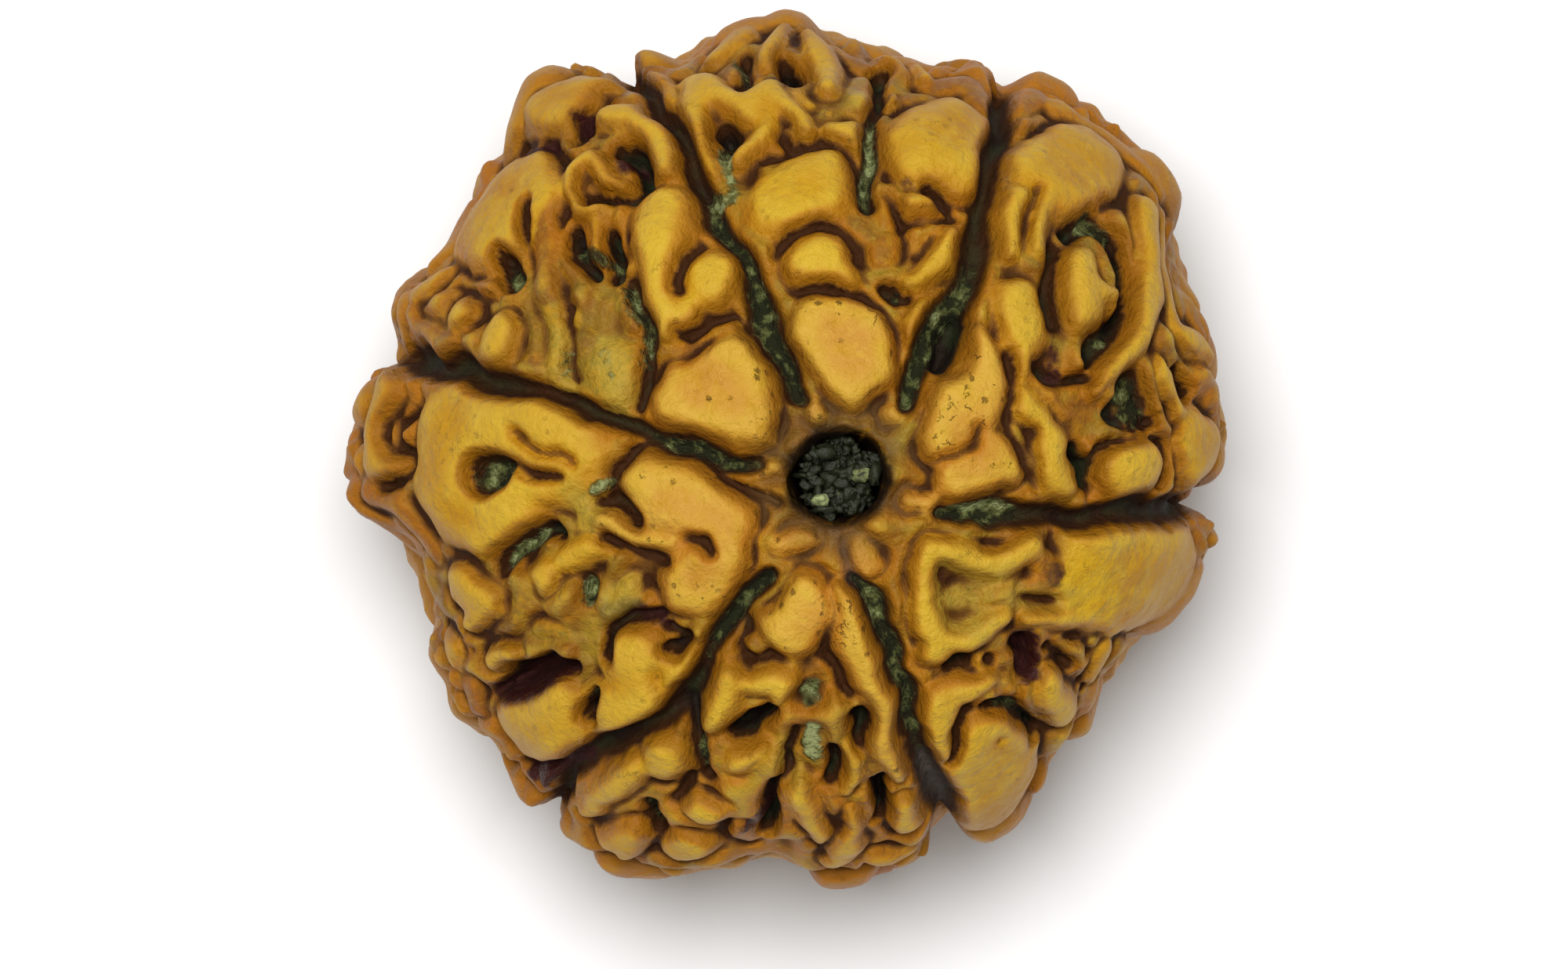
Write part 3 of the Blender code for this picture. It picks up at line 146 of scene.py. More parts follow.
# Broad worn tops: level in mm, shoulder in pixels, tone, corners of the flat
plates = {
    "topAlmond": (0.0, 25, "tan", (1033, 404), (1070, 400), (1102, 415), (1117, 450), (1114, 484),
        (1095, 503), (1075, 497), (1048, 464), (1034, 430)),
    "topStep": (-0.05, 18, "gold", (1014, 346), (1044, 318), (1076, 334), (1079, 352), (1030, 353)),
    "topSaddle": (-0.1, 20, "gold", (995, 236), (1035, 210), (1064, 216), (1070, 245), (1048, 264),
        (1013, 276), (984, 292), (978, 268)),
    "topEgg": (0.0, 30, "gold", (1166, 174), (1195, 150), (1230, 154), (1236, 190), (1226, 222),
        (1200, 210), (1160, 200)),
    "rightShoulder": (0.0, 28, "gold", (1350, 198), (1382, 184), (1408, 194), (1410, 222), (1366, 236),
        (1336, 240)),
    "rightSpindle": (0.0, 17, "gold", (1298, 372), (1316, 396), (1320, 424), (1304, 450), (1288, 424),
        (1284, 404)),
    "rightBlade": (0.0, 21, "tan", (1216, 506), (1243, 498), (1262, 520), (1254, 556), (1238, 580),
        (1196, 582), (1194, 548)),
    "rightFoot": (-0.05, 19, "tan", (1208, 608), (1244, 592), (1278, 576), (1288, 594), (1280, 610),
        (1226, 616)),
    "rightCube": (0.0, 22, "gold", (1430, 600), (1464, 584), (1464, 618), (1432, 622)),
    "rightEdgeKnob": (0.0, 24, "gold", (1528, 560), (1548, 558), (1548, 598), (1530, 606)),
    "lowLobe": (0.0, 26, "gold", (1384, 722), (1430, 716), (1500, 714), (1516, 736), (1482, 774),
        (1432, 784), (1402, 764)),
    "lowHeart": (0.0, 28, "gold", (1256, 952), (1288, 956), (1308, 984), (1284, 1030), (1262, 1054),
        (1248, 1010)),
    "bottomPear": (0.0, 22, "tan", (984, 812), (1008, 786), (1034, 754), (1044, 790), (1030, 820),
        (1000, 824)),
    "leftPlate": (0.0, 24, "tan", (814, 614), (850, 611), (880, 620), (914, 648), (944, 672), (934, 708),
        (915, 748), (892, 772), (872, 766), (890, 736), (908, 704), (884, 672), (836, 648)),
    "leftUpperRing": (0.0, 26, "gold", (548, 562), (600, 537), (655, 540), (734, 563), (750, 580),
        (724, 578), (664, 566), (600, 572), (556, 598)),
    "leftLowerRing": (0.0, 24, "gold", (546, 604), (574, 604), (594, 652), (640, 652), (668, 648),
        (640, 672), (610, 698), (582, 690), (556, 652)),
    "leftLozenge": (0.0, 25, "gold", (655, 940), (690, 906), (713, 910), (714, 944), (690, 960)),
    "leftAntler": (0.0, 17, "gold", (808, 822), (820, 862), (830, 890), (800, 914), (768, 938), (776, 906),
        (790, 876)),
    "upperLeftFan": (0.0, 19, "tan", (845, 520), (866, 486), (906, 462), (944, 444), (961, 490), (977, 530),
        (974, 555), (930, 548), (880, 535)),
    "upperLeftTooth": (-0.05, 17, "gold", (884, 366), (921, 336), (925, 376), (892, 383)),
    "upperLeftSlope": (0.0, 24, "gold", (640, 226), (686, 216), (694, 226), (664, 256), (652, 296),
        (622, 316), (592, 330), (588, 308), (616, 266)),
    "upperLeftLobe": (-0.05, 23, "gold", (686, 136), (708, 112), (744, 107), (726, 122), (698, 150)),
    "upperLeftPad": (-0.4, 18, "khaki", (756, 490), (775, 456), (796, 450), (796, 500), (776, 512)),
}

# Ridges and knobs: level in mm, tone, crest points as x, y, half width
ridges = {
    "topLeftCheek": (-0.3, "gold", (818, 88, 17), (845, 101, 21), (853, 116, 12)),
    "topBrow": (0.0, "gold", (888, 108, 20), (915, 124, 22), (950, 140, 23), (984, 118, 19),
        (1005, 145, 18), (1028, 168, 14)),
    "topBrowLeftLeg": (-0.1, "gold", (886, 122, 20), (887, 160, 19), (891, 200, 16), (900, 226, 12)),
    "topBrowRightLeg": (-0.15, "gold", (978, 142, 20), (966, 176, 18), (950, 204, 14)),
    "topTongue": (-0.8, "khaki", (950, 214, 18), (936, 250, 19), (930, 282, 14)),
    "topCrownLeft": (-0.1, "gold", (905, 74, 18), (928, 50, 22), (948, 38, 16)),
    "topCrownMiddle": (-0.05, "gold", (980, 74, 13), (986, 48, 18), (1000, 28, 14)),
    "topCrownRight": (0.0, "gold", (1036, 45, 20), (1056, 85, 30), (1054, 112, 18)),
    "topSliver": (-0.4, "gold", (1015, 118, 9), (1033, 136, 9)),
    "topBar": (-0.15, "gold", (1064, 168, 17), (1084, 167, 18), (1085, 182, 13)),
    "topDullKnob": (-0.5, "brown", (1072, 286, 17), (1106, 298, 14)),
    "topRimBead": (-0.1, "gold", (1165, 78, 14), (1180, 96, 12)),
    "topSmallBead": (-0.2, "gold", (1136, 126, 13)),
    "topRimBar": (-0.5, "brown", (1190, 102, 18), (1235, 94, 21), (1262, 122, 17)),
    "topRimLink": (-0.5, "brown", (1080, 62, 14), (1104, 78, 12)),
    "topNotchKnob": (-0.1, "gold", (1153, 268, 17), (1177, 261, 18)),
    "topWedge": (-0.15, "gold", (1214, 302, 14), (1200, 330, 20), (1176, 356, 17), (1160, 363, 12)),
    "topWedgeTip": (-0.2, "gold", (1184, 392, 10), (1167, 414, 14), (1158, 436, 9)),
    "topBrownKnob": (-0.4, "brown", (1132, 308, 15), (1130, 332, 16)),
    "topThread": (-0.6, "khaki", (1098, 366, 8), (1130, 386, 8), (1152, 424, 8)),
    "rightOliveRim": (-0.35, "brown", (1302, 126, 22), (1326, 112, 18)),
    "rightRimA": (-0.3, "gold", (1352, 128, 18), (1420, 164, 17), (1468, 206, 18), (1494, 240, 14)),
    "rightShoulderTail": (-0.05, "gold", (1336, 252, 20), (1332, 280, 15), (1325, 318, 12)),
    "rightFinger": (-0.1, "gold", (1300, 256, 20), (1291, 290, 18), (1289, 320, 17)),
    "rightNut": (0.0, "gold", (1376, 336, 25), (1382, 370, 32), (1386, 404, 24)),
    "rightNutNub": (-0.1, "gold", (1404, 372, 18), (1424, 376, 9)),
    "rightLongRidge": (-0.05, "gold", (1462, 268, 24), (1471, 320, 22), (1473, 380, 21), (1464, 424, 18),
        (1440, 452, 13), (1416, 484, 10), (1398, 506, 9)),
    "rightRimB": (-0.35, "gold", (1496, 266, 12), (1490, 330, 12), (1498, 380, 14), (1510, 420, 16)),
    "rightRimKnob": (-0.05, "gold", (1522, 432, 24), (1546, 458, 17)),
    "rightBladeTip": (0.0, "tan", (1242, 424, 11), (1254, 454, 20), (1258, 500, 24), (1250, 545, 26)),
    "rightSpindleTail": (-0.1, "gold", (1303, 454, 14), (1302, 490, 9)),
    "rightLeg": (-0.1, "gold", (1302, 514, 18), (1330, 546, 17), (1344, 580, 21), (1352, 614, 29)),
    "rightPitStrut": (-0.2, "gold", (1488, 468, 13), (1500, 506, 13), (1512, 530, 15)),
    "rightSunkKnob": (-0.7, "khaki", (1366, 506, 16)),
    "rightSunkStep": (-0.9, "khaki", (1348, 440, 20), (1345, 476, 17)),
    "rightSunkHeel": (-0.9, "khaki", (1380, 556, 15), (1402, 524, 14)),
    "lowFrameTop": (0.0, "gold", (1186, 708, 20), (1225, 713, 25), (1264, 722, 27), (1292, 715, 22),
        (1322, 700, 13)),
    "lowFrameSide": (0.0, "gold", (1176, 712, 20), (1173, 745, 20), (1182, 785, 20), (1188, 820, 22),
        (1193, 845, 16)),
    "lowFrameFoot": (-0.05, "gold", (1190, 830, 20), (1225, 822, 18), (1260, 806, 15), (1282, 795, 10)),
    "lowFrameFloor": (-0.9, "khaki", (1234, 768, 22), (1226, 788, 16)),
    "lowNeck": (-0.35, "brown", (1328, 716, 15), (1344, 742, 17), (1324, 760, 17)),
    "lowLobeBump": (0.08, "gold", (1388, 696, 14), (1414, 698, 12)),
    "lowBar": (-0.1, "gold", (1306, 800, 12), (1350, 797, 15), (1398, 788, 18)),
    "lowRim": (-0.3, "gold", (1454, 800, 17), (1420, 812, 12)),
    "lowRimKnob": (-0.3, "gold", (1412, 842, 18), (1404, 872, 16)),
    "lowEgg": (0.0, "gold", (1345, 883, 25), (1358, 914, 28)),
    "lowElbow": (-0.05, "gold", (1196, 895, 18), (1235, 885, 18), (1264, 872, 14)),
    "lowElbowLeg": (0.0, "gold", (1200, 905, 22), (1201, 940, 23), (1205, 958, 15)),
    "lowCrumb": (-0.4, "gold", (1256, 846, 8), (1262, 864, 8)),
    "lowCrumbB": (-0.4, "gold", (1284, 878, 10), (1296, 892, 7)),
    "lowSunkKnob": (-0.6, "khaki", (1280, 828, 17)),
    "bottomArm": (0.0, "tan", (1072, 756, 12), (1085, 790, 22), (1086, 830, 24), (1108, 868, 24),
        (1125, 896, 21), (1126, 934, 18), (1131, 970, 18), (1146, 995, 12)),
    "bottomBean": (0.0, "gold", (934, 868, 21), (919, 903, 26), (908, 930, 21)),
    "bottomBeanArm": (-0.1, "gold", (964, 880, 18), (992, 880, 20), (992, 905, 11)),
    "bottomLeaf": (-0.1, "gold", (940, 980, 17), (968, 964, 14)),
    "bottomPearl": (0.0, "gold", (845, 975, 34)),
    "bottomPearlTail": (-0.1, "gold", (800, 990, 22), (772, 1018, 21), (742, 1044, 16)),
    "bottomKnob": (-0.05, "gold", (888, 1040, 19), (910, 1042, 17)),
    "bottomLeftLobe": (0.0, "gold", (770, 1082, 22), (805, 1078, 26), (800, 1098, 20)),
    "bottomRimLobe": (0.0, "gold", (862, 1094, 27), (895, 1090, 20)),
    "bottomBrownRim": (-0.5, "brown", (936, 1074, 18), (956, 1084, 14)),
    "bottomProng": (-0.15, "gold", (1086, 965, 12), (1086, 1000, 14), (1076, 1020, 10)),
    "bottomStrip": (-0.2, "gold", (1020, 1010, 14), (1028, 1050, 18), (1044, 1080, 17)),
    "bottomApron": (-0.05, "gold", (1086, 1052, 14), (1086, 1090, 25), (1062, 1110, 20)),
    "bottomButton": (0.0, "gold", (1155, 1036, 17), (1158, 1060, 23)),
    "bottomRim": (-0.2, "gold", (1120, 1110, 19), (1164, 1098, 16)),
    "bottomSunkBead": (-1.0, "pale", (1035, 895, 15)),
    "bottomPaleBead": (-0.7, "pale", (1035, 950, 15), (1037, 974, 17)),
    "bottomBrownStep": (-0.6, "brown", (1060, 870, 15), (1040, 856, 14)),
    "bottomOliveStep": (-0.5, "khaki", (1000, 856, 15), (975, 858, 13)),
    "leftTongue": (-0.1, "tan", (760, 668, 13), (790, 680, 14), (825, 692, 14), (858, 702, 13)),
    "leftPitLip": (-0.15, "gold", (650, 578, 9), (690, 590, 10), (716, 602, 7)),
    "leftPitKnob": (-0.3, "gold", (655, 614, 10), (672, 622, 14), (696, 630, 11)),
    "leftSaddle": (-0.5, "khaki", (738, 640, 18), (742, 668, 16)),
    "leftChip": (-0.35, "pale", (760, 630, 11), (774, 618, 11)),
    "leftRim": (-0.05, "gold", (488, 492, 19), (478, 522, 16), (464, 560, 21), (468, 594, 22),
        (490, 602, 13)),
    "leftRimKnob": (-0.35, "brown", (538, 496, 18), (556, 488, 12)),
    "leftRimLow": (-0.3, "brown", (458, 636, 19), (496, 652, 19), (522, 682, 17), (546, 714, 14)),
    "leftHip": (-0.1, "gold", (582, 752, 28), (614, 774, 27), (598, 800, 16)),
    "leftBead": (-0.05, "gold", (688, 740, 23), (690, 757, 15)),
    "leftYellowRidge": (-0.2, "gold", (716, 724, 16), (746, 706, 20), (776, 700, 13)),
    "leftKhakiRidge": (-0.5, "khaki", (802, 754, 15), (786, 776, 12)),
    "leftSunkColumn": (-0.8, "khaki", (736, 798, 18), (746, 834, 16)),
    "leftSunkStep": (-0.8, "brown", (838, 738, 17), (812, 726, 12)),
    "leftAntlerFoot": (0.0, "gold", (800, 905, 22), (770, 938, 15)),
    "leftAntlerSpur": (-0.2, "gold", (872, 835, 12), (862, 860, 14), (854, 884, 12)),
    "leftSmallEgg": (-0.05, "gold", (625, 850, 17), (646, 842, 17)),
    "leftRimNub": (-0.25, "gold", (566, 826, 19), (574, 852, 16)),
    "leftRimNubB": (-0.3, "brown", (592, 884, 16), (598, 914, 17)),
    "leftLowStep": (-0.5, "khaki", (684, 812, 12), (706, 810, 10)),
    "leftLowRim": (-0.4, "brown", (660, 1000, 16), (680, 1024, 14)),
    "leftLink": (-0.2, "gold", (742, 935, 12), (738, 950, 12)),
    "upperLeftTower": (0.0, "gold", (842, 272, 38), (846, 300, 40), (835, 350, 27), (846, 398, 22),
        (850, 430, 17)),
    "upperLeftToothRoot": (-0.1, "gold", (872, 400, 18), (862, 426, 15)),
    "upperLeftArch": (0.0, "gold", (772, 156, 18), (805, 146, 20), (834, 165, 21), (848, 200, 21),
        (850, 226, 18)),
    "upperLeftHook": (-0.05, "gold", (728, 250, 12), (732, 222, 14), (752, 205, 14), (774, 225, 13),
        (790, 236, 8)),
    "upperLeftHookFoot": (-0.1, "gold", (738, 264, 14), (768, 268, 10)),
    "upperLeftCrest": (0.0, "gold", (682, 144, 23), (706, 118, 27), (750, 108, 18), (778, 107, 13)),
    "upperLeftBrownFold": (-0.35, "brown", (698, 256, 14), (689, 292, 16), (687, 332, 14), (695, 380, 16)),
    "upperLeftKhakiFold": (-0.45, "khaki", (700, 396, 15), (706, 432, 15), (710, 470, 15)),
    "upperLeftPillar": (-0.4, "gold", (757, 285, 10), (758, 316, 7)),
    "upperLeftSunkStep": (-0.65, "brown", (764, 388, 17), (770, 420, 14)),
    "upperLeftCrumb": (-0.35, "gold", (727, 404, 11)),
    "upperLeftBall": (0.0, "gold", (640, 425, 25), (634, 444, 25)),
    "upperLeftTwin": (-0.1, "gold", (592, 394, 19), (577, 411, 16)),
    "upperLeftRim": (-0.2, "gold", (520, 378, 16), (556, 350, 17)),
    "upperLeftRimLow": (-0.25, "brown", (514, 402, 15), (526, 428, 17), (564, 440, 16)),
    "boreKnuckleA": (-0.35, "tan", (1028, 517, 14), (1036, 536, 15)),
    "boreKnuckleB": (-0.45, "tan", (1134, 536, 15)),
    "boreKnuckleC": (-0.35, "tan", (1162, 643, 14), (1192, 640, 14)),
    "boreKnuckleD": (-0.4, "tan", (1096, 698, 15), (1110, 726, 19)),
    "boreKnuckleE": (-0.35, "tan", (1000, 704, 18), (1024, 690, 18)),
    "boreKnuckleF": (-0.35, "tan", (966, 608, 13), (990, 596, 14)),
}

# Pits and creases: depth in mm, steepness, points as x, y, half width
cuts = {
    "topLeftPit": (2.2, 3, (922, 162, 10), (932, 170, 12), (930, 192, 10)),
    "topCrownPit": (2.0, 3, (948, 62, 7), (952, 92, 13), (942, 102, 9)),
    "topCrownPitB": (2.2, 3, (1000, 74, 9), (1005, 96, 15)),
    "topCrownCrease": (1.0, 2, (870, 92, 6), (900, 88, 6), (930, 104, 7), (945, 116, 8), (965, 104, 6)),
    "topSaddleCrease": (1.2, 2, (975, 206, 9), (1000, 200, 10), (1024, 182, 7), (1050, 178, 6),
        (1078, 190, 7), (1092, 210, 7)),
    "topSaddlePit": (1.6, 2, (995, 182, 7), (1005, 196, 9)),
    "topStepCrease": (1.2, 2, (985, 332, 9), (1012, 302, 7), (1044, 288, 6), (1072, 298, 6),
        (1096, 318, 6)),
    "topAlmondCrease": (1.1, 2, (1000, 372, 6), (1030, 370, 6), (1080, 378, 6), (1120, 392, 6),
        (1142, 420, 7), (1148, 460, 7)),
    "topGreyGutter": (1.6, 3, (1124, 84, 15), (1122, 130, 12), (1110, 172, 14), (1106, 216, 15),
        (1104, 262, 13)),
    "topNotchCrease": (1.3, 2, (1128, 246, 6), (1150, 292, 7), (1176, 292, 7), (1200, 280, 8),
        (1226, 272, 7)),
    "topNotchPit": (1.4, 2, (1186, 240, 8), (1200, 258, 10), (1210, 268, 9)),
    "topWedgePit": (1.9, 3, (1124, 368, 9), (1144, 376, 13), (1162, 380, 8)),
    "topWedgeSpot": (1.0, 2, (1162, 330, 8)),
    "rightWallPit": (2.4, 3, (1226, 404, 12), (1212, 438, 22), (1204, 464, 16)),
    "rightShoulderFold": (0.9, 2, (1320, 246, 7), (1314, 280, 7), (1310, 320, 7)),
    "rightRimFold": (1.0, 2, (1296, 180, 10), (1320, 172, 9), (1345, 152, 8)),
    "rightUpperPit": (2.4, 3, (1366, 292, 11), (1400, 281, 16), (1425, 304, 15), (1438, 344, 12)),
    "rightSidePit": (2.3, 3, (1441, 356, 11), (1438, 398, 11), (1414, 438, 18), (1398, 462, 13)),
    "rightNutGap": (1.6, 2, (1350, 312, 8), (1338, 345, 8), (1342, 390, 9), (1352, 420, 10)),
    "rightBigPit": (2.6, 3, (1450, 488, 18), (1456, 516, 27), (1430, 536, 15), (1474, 540, 14)),
    "rightRimPit": (2.2, 3, (1514, 478, 14), (1524, 504, 15)),
    "rightLowPit": (2.1, 3, (1376, 580, 9), (1396, 596, 13), (1394, 620, 8)),
    "rightSunkGap": (1.8, 2, (1330, 470, 10), (1350, 488, 9), (1392, 484, 10)),
    "rightBladeCrease": (0.9, 2, (1286, 512, 5), (1292, 548, 5), (1306, 590, 6), (1322, 626, 6)),
    "rightFootCrease": (0.55, 2, (1180, 592, 5), (1214, 594, 5), (1240, 580, 5), (1248, 552, 4)),
    "rightLegSpot": (1.0, 2, (1322, 560, 8)),
    "rightCubeGap": (1.4, 2, (1402, 648, 7), (1396, 612, 8), (1410, 572, 9), (1462, 556, 7), (1492, 566, 7),
        (1492, 620, 8)),
    "lowBarCrease": (0.7, 2, (1424, 806, 6), (1410, 814, 6), (1370, 818, 7)),
    "lowFrameCrease": (0.6, 2, (1206, 736, 7), (1230, 748, 6), (1262, 762, 7), (1290, 750, 6),
        (1312, 728, 6)),
    "lowNeckGap": (1.2, 2, (1300, 776, 9), (1330, 770, 10), (1352, 772, 8)),
    "lowEyePit": (2.0, 3, (1212, 862, 7), (1232, 851, 12)),
    "lowEyeSpot": (1.7, 3, (1268, 850, 8)),
    "lowGutter": (2.1, 3, (1266, 908, 9), (1290, 913, 13), (1312, 928, 11), (1330, 948, 8)),
    "lowShadePit": (2.0, 2, (1308, 834, 17), (1312, 866, 15)),
    "lowShadeCrease": (1.4, 2, (1340, 836, 10), (1372, 856, 8), (1392, 888, 6)),
    "lowRimCrease": (1.2, 2, (1366, 822, 8), (1386, 826, 9), (1392, 846, 6)),
    "lowHeartSpot": (0.35, 2, (1274, 948, 10)),
    "lowHeartCrease": (1.1, 2, (1236, 912, 6), (1226, 944, 6), (1216, 976, 7)),
    "bottomDarkPit": (2.2, 3, (932, 950, 7), (960, 930, 12), (984, 925, 11)),
    "bottomSeamSpur": (1.7, 3, (870, 908, 13), (880, 944, 10), (892, 974, 12), (900, 1002, 13)),
    "bottomPearlGap": (1.5, 2, (880, 1004, 9), (866, 1020, 7), (850, 1030, 7)),
    "bottomOlivePit": (1.9, 3, (822, 1040, 11), (828, 1070, 13)),
    "bottomRightPit": (2.2, 3, (1122, 1008, 11), (1128, 1030, 11), (1124, 1062, 9)),
    "bottomProngPit": (2.0, 3, (1060, 968, 8), (1054, 1008, 10)),
    "bottomArmPit": (2.0, 3, (1084, 922, 10), (1100, 940, 13), (1096, 958, 8)),
    "bottomArmCrease": (1.2, 2, (1052, 846, 8), (1070, 868, 8), (1080, 896, 9)),
    "bottomBeanCrease": (1.3, 2, (955, 800, 9), (940, 822, 8), (960, 846, 7), (990, 850, 6)),
    "bottomLobeGap": (2.0, 3, (985, 1012, 10), (984, 1046, 15), (976, 1076, 12)),
    "bottomBrownGap": (1.3, 2, (926, 1060, 9), (920, 1082, 9)),
    "bottomApronCrease": (0.8, 2, (1066, 1056, 5), (1060, 1086, 5), (1048, 1106, 5)),
    "bottomPaleGap": (1.7, 2, (1010, 940, 8), (1008, 985, 8), (1000, 1010, 8)),
    "leftRingPit": (2.6, 3, (610, 612, 22), (634, 608, 19)),
    "leftRingCrease": (0.6, 2, (655, 556, 7), (682, 572, 7), (712, 580, 7), (730, 600, 6)),
    "leftLipCrease": (0.9, 2, (650, 600, 6), (690, 606, 6), (716, 618, 6)),
    "leftBranch": (1.4, 2, (862, 572, 7), (826, 572, 9), (800, 584, 9), (782, 608, 9), (776, 640, 8)),
    "leftPlateCrease": (1.3, 2, (862, 578, 7), (890, 590, 7), (920, 612, 7), (952, 634, 7), (988, 650, 7)),
    "leftNotch": (0.7, 2, (876, 690, 6), (898, 700, 10), (904, 716, 6)),
    "leftTongueGap": (1.7, 2, (752, 650, 9), (790, 650, 8), (812, 662, 6)),
    "leftTongueUnder": (1.3, 2, (770, 694, 6), (800, 704, 7), (830, 716, 9), (850, 728, 9)),
    "leftCrescentPit": (2.2, 3, (636, 738, 12), (645, 714, 14), (662, 694, 13), (692, 684, 13),
        (708, 688, 10)),
    "leftColumnPit": (1.8, 3, (740, 752, 15), (746, 776, 11)),
    "leftRimGap": (1.6, 2, (515, 524, 7), (498, 548, 10), (496, 576, 8), (520, 592, 6), (516, 610, 8),
        (500, 624, 9), (476, 622, 7)),
    "leftHipCrease": (0.9, 2, (548, 716, 6), (590, 726, 6), (624, 738, 7)),
    "leftHipUnder": (1.0, 2, (552, 796, 7), (590, 816, 7), (640, 822, 7), (690, 790, 8)),
    "leftDarkValley": (2.3, 3, (618, 902, 12), (652, 876, 17), (698, 858, 20), (724, 860, 12)),
    "leftAntlerGap": (1.8, 2, (764, 850, 8), (778, 816, 9), (800, 792, 9), (838, 790, 10)),
    "leftAntlerPit": (1.9, 2, (846, 806, 10), (872, 815, 10), (844, 836, 8)),
    "leftSmallPit": (2.0, 3, (756, 892, 8), (748, 922, 11)),
    "leftNubSpot": (1.0, 2, (592, 836, 8)),
    "leftLowGap": (1.6, 2, (640, 984, 9), (672, 990, 8), (712, 982, 8)),
    "upperLeftPit": (2.6, 3, (640, 340, 22), (644, 356, 22)),
    "upperLeftHeartPit": (2.3, 3, (784, 186, 11), (810, 190, 14), (814, 214, 12), (812, 238, 8)),
    "upperLeftSlit": (1.8, 3, (808, 244, 7), (780, 250, 7), (752, 252, 7)),
    "upperLeftTwinPit": (2.3, 3, (724, 292, 11), (728, 322, 17), (746, 346, 14)),
    "upperLeftTwinPitB": (2.2, 3, (776, 300, 8), (785, 330, 13), (776, 350, 12)),
    "upperLeftDarkWedge": (2.0, 3, (766, 132, 8), (742, 150, 14), (730, 172, 11)),
    "upperLeftEdgeCrease": (1.4, 2, (650, 186, 11), (672, 176, 7), (700, 186, 6), (722, 198, 7)),
    "upperLeftTowerCrease": (1.0, 2, (898, 312, 7), (874, 340, 6), (864, 374, 5)),
    "upperLeftFanCrease": (1.3, 2, (862, 424, 6), (900, 412, 6), (944, 404, 7), (958, 420, 7)),
    "upperLeftArchCrease": (0.9, 2, (868, 236, 6), (840, 232, 5), (824, 240, 6)),
    "upperLeftPadCrease": (1.8, 2, (795, 362, 8), (815, 400, 8), (827, 440, 8), (832, 468, 9),
        (818, 496, 8), (808, 532, 8)),
    "upperLeftKhakiCrease": (1.2, 2, (718, 392, 6), (722, 450, 6), (728, 496, 6)),
    "upperLeftFoldCrease": (0.9, 2, (672, 262, 6), (668, 300, 6), (672, 360, 6), (680, 400, 7)),
    "upperLeftBallCrease": (1.0, 2, (616, 400, 6), (602, 420, 6), (590, 432, 6)),
    "upperLeftRimCrease": (0.9, 2, (500, 376, 7), (556, 372, 6), (600, 370, 7), (628, 384, 8)),
}

# Dried pulp outside the seams: strength, paleness, points as x, y, half width
pulpSpots = {
    "topLeft": (0.9, 0.8, (930, 186, 18), (934, 250, 14), (906, 256, 22)),
    "topCrown": (0.9, 0.5, (940, 82, 17), (956, 100, 12)),
    "topGutter": (0.8, 0.7, (1116, 150, 13), (1108, 200, 16), (1104, 250, 15)),
    "topWedge": (0.8, 0.1, (1144, 376, 14)),
    "rightUpper": (1.0, 0.5, (1396, 282, 20), (1420, 296, 12)),
    "rightSide": (0.8, 0.2, (1416, 436, 16)),
    "rightBig": (0.9, 0.2, (1450, 500, 26), (1460, 530, 20)),
    "rightSeam": (0.9, 0.75, (1216, 646, 8), (1262, 648, 9), (1292, 654, 8)),
    "lowFrame": (0.5, 0.3, (1236, 762, 18)),
    "lowGutter": (0.8, 0.3, (1280, 910, 12), (1300, 918, 12)),
    "bottomPale": (0.8, 0.8, (1030, 886, 20), (1034, 905, 16)),
    "bottomPearl": (1.0, 1.2, (1034, 940, 16), (1036, 968, 15)),
    "bottomSpur": (0.9, 0.6, (894, 960, 13), (898, 990, 12)),
    "bottomOlive": (0.9, 0.2, (824, 1044, 12), (830, 1068, 12)),
    "leftRing": (1.0, 0.6, (608, 614, 20), (628, 610, 18)),
    "leftChip": (1.0, 1.0, (758, 632, 11), (776, 616, 11)),
    "leftCrescent": (1.0, 0.8, (642, 732, 12), (652, 706, 14), (676, 690, 11)),
    "leftColumn": (0.9, 0.6, (740, 752, 16), (746, 780, 12)),
    "leftSmall": (0.9, 0.4, (752, 900, 12)),
    "upperLeftPit": (1.0, 0.4, (640, 346, 18), (648, 354, 18)),
    "upperLeftTwin": (0.9, 0.3, (730, 318, 16), (780, 332, 12)),
    "upperLeftPad": (0.8, 0.5, (796, 372, 12), (818, 420, 12), (824, 470, 10)),
    "upperLeftFold": (0.6, 0.7, (716, 440, 12), (720, 480, 12)),
    "upperLeftPadTop": (0.55, 0.9, (778, 490, 18), (772, 455, 14)),
    "rightRim": (0.7, 0.0, (1518, 490, 12)),
}
